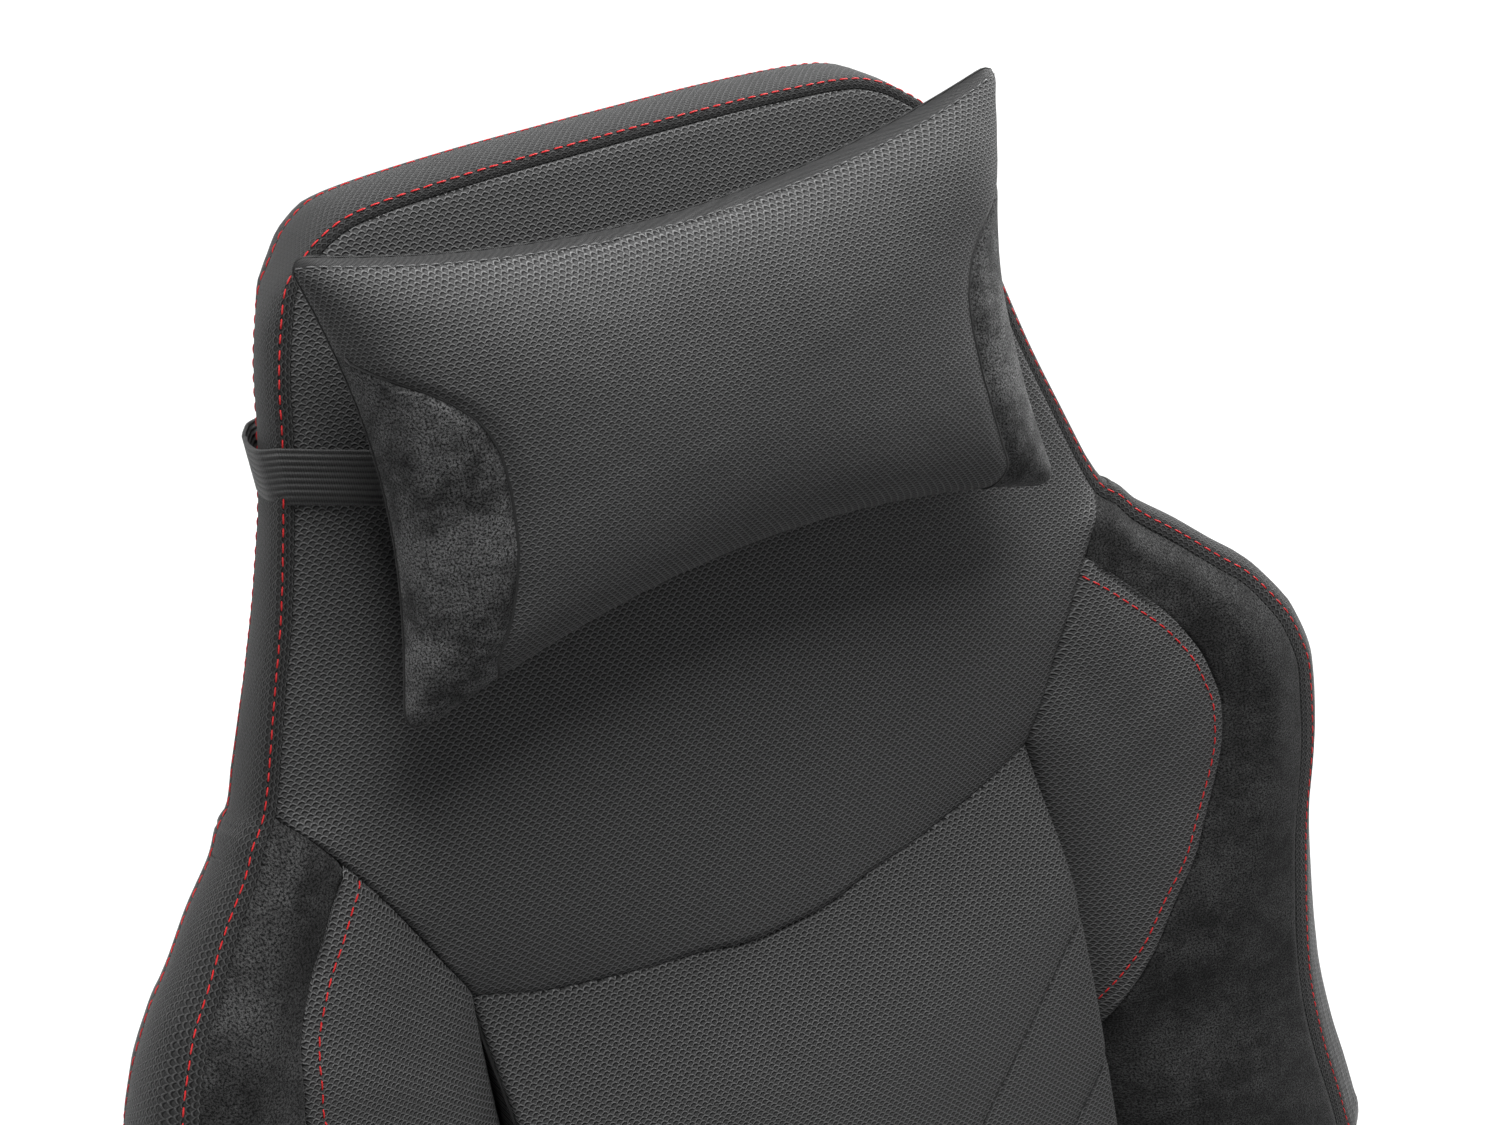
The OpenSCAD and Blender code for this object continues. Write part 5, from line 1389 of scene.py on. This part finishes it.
core_loop = seat_loop(160, 4.0)
core = np.vstack([np.column_stack([core_loop, np.full(len(core_loop), z)]) for z in (28.2, 61.0)])
m = len(core_loop)
core_faces = grid_faces(2, m, wrap=True) + [tuple(range(m)), tuple(range(m, 2 * m))]
foam = new_object("seat_foam_core", seat_world(core), core_faces, core[:, :2] / CLOTH_UNIT, lining,
                  "seat")
outward(foam)
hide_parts("seat_foam")
print("skirt:", round(run[-1]), "mm round")

# %% [markdown]
# The centre panel is quilted like the lumbar block, in wider channels because its foam is
# thicker. Its front rolls down over the edge of the foam, and its sides fall to the seams beside
# the bolsters. Its height is one formula, a sum of those falls, so each can be changed alone.

# %% Seat cushion
SEAT_CHANNEL_DEPTH = 5.2
SEAT_CHANNEL_HALF = 17.0


def seat_channel(x, y):
    """How deep a place lies in its chevron channel."""
    p = y - CHEVRON_RISE * np.abs(x)
    d = p / CHEVRON_PITCH - 0.5
    off = np.abs(d - np.round(d)) * CHEVRON_PITCH / math.hypot(1, CHEVRON_RISE)
    return SEAT_CHANNEL_DEPTH * np.clip(1 - off / SEAT_CHANNEL_HALF, 0, 1) ** 1.8


def cushion_height(x, y):
    """Height of the centre panel's cloth."""
    side = 11 * arc_drop((np.abs(x) - PANEL_HALF + 26) / 26)
    front = (CUSHION_TOP - BASE_TOP - 4) * arc_drop((SEAT_FRONT + 74 - y) / 74)
    rear = 16 * arc_drop((y - SEAT_REAR + 30) / 30)
    crown = 12 * (x / PANEL_HALF) ** 2
    height = CUSHION_TOP + 1 - crown - side - front - rear - seat_channel(x, y)
    return np.maximum(BASE_TOP + 3, height)


xs = np.linspace(-PANEL_HALF + 0.6, PANEL_HALF - 0.6, 106)
bend = np.linspace(0, 1, 160)
ys = SEAT_FRONT + 3 + (SEAT_REAR - SEAT_FRONT - 4) * (0.25 * bend ** 2 + 0.75 * bend)
gx, gy = np.meshgrid(xs, ys)
top = np.stack([gx, gy, cushion_height(gx, gy)], axis=2)
top = roll_edges(waves(top, 0.8, 60, 31.0), 5, 2.2)
seat_top = cushion("seat_cushion_knit", top, BASE_TOP + 0.3, knit, "seat",
                   to_world=seat_world, unroll=True)
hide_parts("seat_cushion")
lines = chevron_lines(top, [(k + 0.5) * CHEVRON_PITCH for k in range(-7, 3)], PANEL_HALF - 6,
                      SEAT_FRONT + 40, SEAT_REAR - 16)
sew("seat_chevron_stitches", lines, black_thread, "seat", "knit_fabric", to_world=seat_world,
    pitch=6.2, length=4.4, thick=1.0, lift=0.2)

# %% [markdown]
# Bolsters hold the thighs. Each rises from the seam beside the centre panel, rounds over and
# falls to the skirt, and is covered in suede with a row of red stitches beside each seam. Its
# section is a stretched sine, whose height follows the front and rear of the seat.

# %% Bolsters
bend = np.linspace(0, 1, 150)
ys = SEAT_FRONT + 3.5 + (SEAT_REAR - SEAT_FRONT - 5) * (0.35 * bend ** 2 + 0.65 * bend)
share = np.linspace(0, 1, 40)
gt, gy = np.meshgrid(share, ys)
outer = seat_half(gy) - 2.5
front = 1 - arc_drop((SEAT_FRONT + 110 - gy) / 108)
rear = 1 - 0.35 * arc_drop((gy - SEAT_REAR + 40) / 40)
rise = (BOLSTER_TOP - BASE_TOP) * front * rear
round_over = np.sin(math.pi * (0.14 + 0.86 * gt ** 0.8)).clip(0, 1) ** 0.7
bolster_x = PANEL_HALF + 0.6 + (outer - PANEL_HALF - 0.6) * gt
bolster = np.stack([bolster_x, gy, BASE_TOP + 4 + np.maximum(1, (rise - 4) * round_over)], axis=2)
bolster = waves(bolster, 1.0, 50, 40.5)
bolster[:, :4, 2] -= np.array([2.4, 1.2, 0.5, 0.1])
bolster[:, -1, 0] -= 1.0
ups = np.cross(np.gradient(bolster, axis=1), np.gradient(bolster, axis=0))
lines = []
for column in (4, 36):
    lines += both_sides(bolster[16:-8, column], ups[16:-8, column])
for word, turn in (("left", np.asarray), ("right", mirrored)):
    piece = cushion("seat_bolster_suede_" + word, turn(bolster), BASE_TOP + 0.3, suede, "seat",
                    to_world=seat_world, unroll=True)
    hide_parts("seat_bolster_" + word)
sew("bolster_stitches", lines, red_thread, "seat", "suede_cloth", to_world=seat_world, lift=0.2)
welt_loop = seat_loop(420, 2.4)
welt_path = np.column_stack([welt_loop, np.full(len(welt_loop), BASE_TOP + 0.4)])
piping("seat_welt", [welt_path], 2.0, lining, "seat", closed=True, to_world=seat_world)

# %% [markdown]
# A thin cloth closes the underside. It is held tight by its rim, so it is a flat sheet with
# only a faint ripple.

# %% Dust cover
low, high = (np.array(corner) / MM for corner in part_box("dust_cover"))
gx, gy = np.meshgrid(np.linspace(low[0], high[0], 70), np.linspace(low[1], high[1], 70))
sheet_grid = np.stack([gx, gy, np.full_like(gx, high[2] - 0.1)], axis=2)
sheet_grid = waves(sheet_grid, 0.15, 40, 52.0)
dust = cushion("dust_cover_cloth", sheet_grid, low[2] + 0.1, lining, "seat",
               to_world=seat_world)
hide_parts("dust_cover")
print("dust cover:", round(high[0] - low[0]), "by", round(high[1] - low[1]), "mm")

# %% [markdown]
# The elastic webbing that carries the foam is hidden in use, but it shows when a cover is
# off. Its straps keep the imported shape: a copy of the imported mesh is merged, gets rounded edges
# and takes the woven finish, which is quicker than weaving it and can't miss its place.

# %% Webbing
def webbing_material(name):
    """Elastic webbing: warp and weft as two crossed waves."""
    material, tree, skin = new_material(name, grey(34), 0.7, sheen=0.2, sheen_tint=grey(120))
    place = object_mm(tree)
    parts = tree.nodes.new("ShaderNodeSeparateXYZ")
    tree.links.new(place, parts.inputs[0])
    over = calc(tree, "SINE", calc(tree, "MULTIPLY", parts.outputs[0], math.tau / 2.2))
    along_it = calc(tree, "ADD", parts.outputs[1], parts.outputs[2])
    under = calc(tree, "SINE", calc(tree, "MULTIPLY", along_it, math.tau / 3.0))
    weave = calc(tree, "MULTIPLY", over, under)
    color = blend_colors(tree, step_range(tree, weave, -0.7, 0.7), grey(20), grey(52))
    tree.links.new(color, skin.inputs["Base Color"])
    bump(tree, skin, weave, 0.0004, 0.8)
    return material


webbing = webbing_material("webbing")
for node_name, body in (("seat_webbing", "seat"), ("back_webbing", "back")):
    mesh = nodes[node_name].data.copy()
    bm = bmesh.new()
    bm.from_mesh(mesh)
    bmesh.ops.remove_doubles(bm, verts=bm.verts, dist=0.00002)
    bmesh.ops.dissolve_limit(bm, angle_limit=math.radians(2), verts=bm.verts, edges=bm.edges)
    sharp = [e for e in bm.edges if len(e.link_faces) == 2 and e.calc_face_angle(0) > math.radians(50)]
    bmesh.ops.bevel(bm, geom=sharp, offset=0.0004, segments=2, affect="EDGES", profile=0.5)
    bmesh.ops.triangulate(bm, faces=bm.faces)
    bm.to_mesh(mesh)
    bm.free()
    mesh.materials.clear()
    mesh.materials.append(webbing)
    piece = bpy.data.objects.new(node_name + "_woven", mesh)
    bpy.context.scene.collection.objects.link(piece)
    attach(piece, body)
    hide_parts(node_name)
    print(piece.name, len(mesh.polygons), "faces")

# %% [markdown]
# ## Steel and plastic
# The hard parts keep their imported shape. Each gets a finish that reads Object coordinates:
# powder coat with a fine orange peel and rubbed spots, zinc plate with a cloudy passivation,
# blued spring steel, and moulded plastic with a spark-eroded grain.

# %% Hard finishes
def powder_coat(name):
    """Black powder coat: orange peel, dust and small bright chips."""
    material, tree, skin = new_material(name, grey(34), 0.42, specular=0.5)
    place = object_mm(tree)
    peel = noise(tree, place, 0.9, 2.0, 0.5)
    dust = noise(tree, place, 0.05, 4.0, 0.6)
    specks = noise(tree, place, 2.5, 2.0, 0.6)
    color = blend_colors(tree, step_range(tree, dust, 0.4, 0.75), grey(30), grey(48))
    color = blend_colors(tree, step_range(tree, specks, 0.66, 0.74), color, grey(70))
    tree.links.new(color, skin.inputs["Base Color"])
    tree.links.new(step_range(tree, dust, 0.3, 0.8, 0.36, 0.6), skin.inputs["Roughness"])
    bump(tree, skin, peel, 0.0002, 0.5)
    return material


def zinc_plate(name):
    """Zinc plate with cloudy passivation and fine scratches."""
    material, tree, skin = new_material(name, grey(170), 0.34, metallic=1.0)
    place = object_mm(tree)
    clouds = noise(tree, place, 0.12, 4.0, 0.6)
    lines = noise(tree, place, 1.8, 3.0, 0.7)
    color = blend_colors(tree, step_range(tree, clouds, 0.35, 0.7), tint(150, 150, 146),
                         tint(196, 194, 184))
    tree.links.new(color, skin.inputs["Base Color"])
    tree.links.new(step_range(tree, lines, 0.3, 0.7, 0.26, 0.46), skin.inputs["Roughness"])
    bump(tree, skin, lines, 0.00006, 0.6)
    return material


def spring_steel_finish(name):
    """Spring steel, blued unevenly by its heat treatment."""
    material, tree, skin = new_material(name, tint(72, 78, 92), 0.3, metallic=1.0)
    place = object_mm(tree)
    temper = noise(tree, place, 0.09, 2.0, 0.5)
    drawn = noise(tree, place, 2.4, 3.0, 0.6)
    color = blend_colors(tree, step_range(tree, temper, 0.35, 0.65), tint(58, 66, 84), tint(98, 88, 82))
    tree.links.new(color, skin.inputs["Base Color"])
    tree.links.new(step_range(tree, drawn, 0.3, 0.7, 0.24, 0.4), skin.inputs["Roughness"])
    bump(tree, skin, drawn, 0.00005, 0.6)
    return material


def moulded_plastic(name):
    """Black plastic with an eroded grain, smoother where it is rubbed."""
    material, tree, skin = new_material(name, grey(30), 0.5, specular=0.45)
    place = object_mm(tree)
    cells = tree.nodes.new("ShaderNodeTexVoronoi")
    cells.inputs["Scale"].default_value = 1.25
    tree.links.new(place, cells.inputs["Vector"])
    grain = calc(tree, "ADD", cells.outputs["Distance"], noise(tree, place, 2.2, 2.0, 0.6))
    rubbed = noise(tree, place, 0.03, 3.0, 0.6)
    color = blend_colors(tree, step_range(tree, rubbed, 0.4, 0.75), grey(27), grey(38))
    tree.links.new(color, skin.inputs["Base Color"])
    tree.links.new(step_range(tree, rubbed, 0.3, 0.8, 0.44, 0.58), skin.inputs["Roughness"])
    bump(tree, skin, grain, 0.00018, 0.6)
    return material


FINISHES = {
    powder_coat("black_coat"): ["seat_frame", "base_plates", "bracket_left", "bracket_right", "back_frame",
                                "back_cross_tubes", "wing_hoop_left", "wing_hoop_right", "arm_left",
                                "arm_right", "lever_blade"],
    zinc_plate("zinc"): ["base_nuts", "bracket_bolts", "hinge_pin", "lock_guide", "lock_pawl_upper",
                         "lock_pawl_lower", "lock_retainer", "cover_screws", "arm_bolts", "lock_ring",
                         "release_shaft", "spring_hook"],
    spring_steel_finish("spring_steel"): ["clock_spring"],
    moulded_plastic("plastic"): ["cover_left", "cover_right", "lever_grip"],
}
for material, names in FINISHES.items():
    for name in names:
        nodes[name].data.materials.clear()
        nodes[name].data.materials.append(material)
    print(material.name + ":", len(names), "parts")

# %% [markdown]
# ## Floor and light
# The floor is plain and pale. For camera rays it glows a little, so that the ground reads white
# while the object's shadow stays; further out, where the lamps are weak, it glows more. Seen
# from below it is clear, so that the underside can be looked at. Soft boxes stand right, left,
# above and in front. The ones on the right and above are the strongest, so that the pads have a
# bright side and are dark underneath. The world fills the rest. The lamps are large and soft,
# because a small one would put hard streaks on the seams.

# %% Floor and world
FLOOR_GLOW = 0.85
FLOOR_SIZE = 80.0
FILL = 0.15                 # the world's light on the object


def light_floor(name):
    """A matt floor that glows for the camera and is clear from below."""
    material = bpy.data.materials.new(name)
    material.use_nodes = True
    tree = material.node_tree
    skin = tree.nodes["Principled BSDF"]
    skin.inputs["Base Color"].default_value = (0.25, 0.25, 0.25, 1)
    skin.inputs["Roughness"].default_value = 0.9
    skin.inputs["Specular IOR Level"].default_value = 0.1
    path = tree.nodes.new("ShaderNodeLightPath")
    glow = tree.nodes.new("ShaderNodeEmission")
    glow.inputs["Color"].default_value = (1, 1, 1, 1)
    seen = calc(tree, "MAXIMUM", path.outputs["Is Camera Ray"], path.outputs["Is Glossy Ray"])
    far = tree.nodes.new("ShaderNodeVectorMath")
    far.operation = "LENGTH"
    tree.links.new(object_mm(tree), far.inputs[0])
    level = step_range(tree, far.outputs["Value"], 1000.0, 5000.0, FLOOR_GLOW, 1.0)
    tree.links.new(calc(tree, "MULTIPLY", seen, level), glow.inputs["Strength"])
    add = tree.nodes.new("ShaderNodeAddShader")
    tree.links.new(skin.outputs[0], add.inputs[0])
    tree.links.new(glow.outputs[0], add.inputs[1])
    clear = tree.nodes.new("ShaderNodeBsdfTransparent")
    side = tree.nodes.new("ShaderNodeNewGeometry")
    mix = tree.nodes.new("ShaderNodeMixShader")
    tree.links.new(side.outputs["Backfacing"], mix.inputs[0])
    tree.links.new(add.outputs[0], mix.inputs[1])
    tree.links.new(clear.outputs[0], mix.inputs[2])
    tree.links.new(mix.outputs[0], tree.nodes["Material Output"].inputs["Surface"])
    return material


bpy.ops.object.select_all(action="DESELECT")
bpy.ops.mesh.primitive_plane_add(size=FLOOR_SIZE, location=(0, 0, -0.0008))
floor = bpy.context.active_object
floor.name = "floor"
bpy.ops.object.transform_apply(location=True)
floor.data.materials.append(light_floor("floor"))

print("floor:", FLOOR_SIZE, "m wide")

world = bpy.data.worlds.new("studio")
bpy.context.scene.world = world
world.use_nodes = True
tree = world.node_tree
background = tree.nodes["Background"]
path = tree.nodes.new("ShaderNodeLightPath")
seen = calc(tree, "MAXIMUM", path.outputs["Is Camera Ray"], path.outputs["Is Transmission Ray"])
tree.links.new(blend_colors(tree, seen, (0.94, 0.96, 1.0), (1, 1, 1)), background.inputs["Color"])
strength = calc(tree, "ADD", calc(tree, "MULTIPLY", seen, 1 - FILL), FILL)
tree.links.new(strength, background.inputs["Strength"])

# %% Soft boxes
def soft_box(name, place, aim, size, watts):
    """A rectangular lamp at a place, turned to its aim."""
    data = bpy.data.lights.new(name, "AREA")
    data.shape = "RECTANGLE"
    data.size, data.size_y = size
    data.energy = watts
    lamp = bpy.data.objects.new(name, data)
    bpy.context.scene.collection.objects.link(lamp)
    lamp.location = place
    lamp.rotation_euler = (Vector(aim) - Vector(place)).to_track_quat("-Z", "Y").to_euler()
    print(name, watts, "W")


soft_box("box_right", (1.9, 1.2, 1.6), (0, 0.4, 0.6), (1.0, 1.6), 56)
soft_box("box_left", (-1.4, 1.7, 2.0), (0, 0.4, 0.6), (1.0, 1.4), 18)
soft_box("box_above", (0.3, 0.35, 2.7), (0, 0.35, 0.5), (1.4, 1.2), 54)
soft_box("box_front", (0.0, -2.2, 1.9), (0, 0.2, 0.5), (1.6, 1.2), 8)
bpy.context.scene.view_settings.view_transform = "Standard"
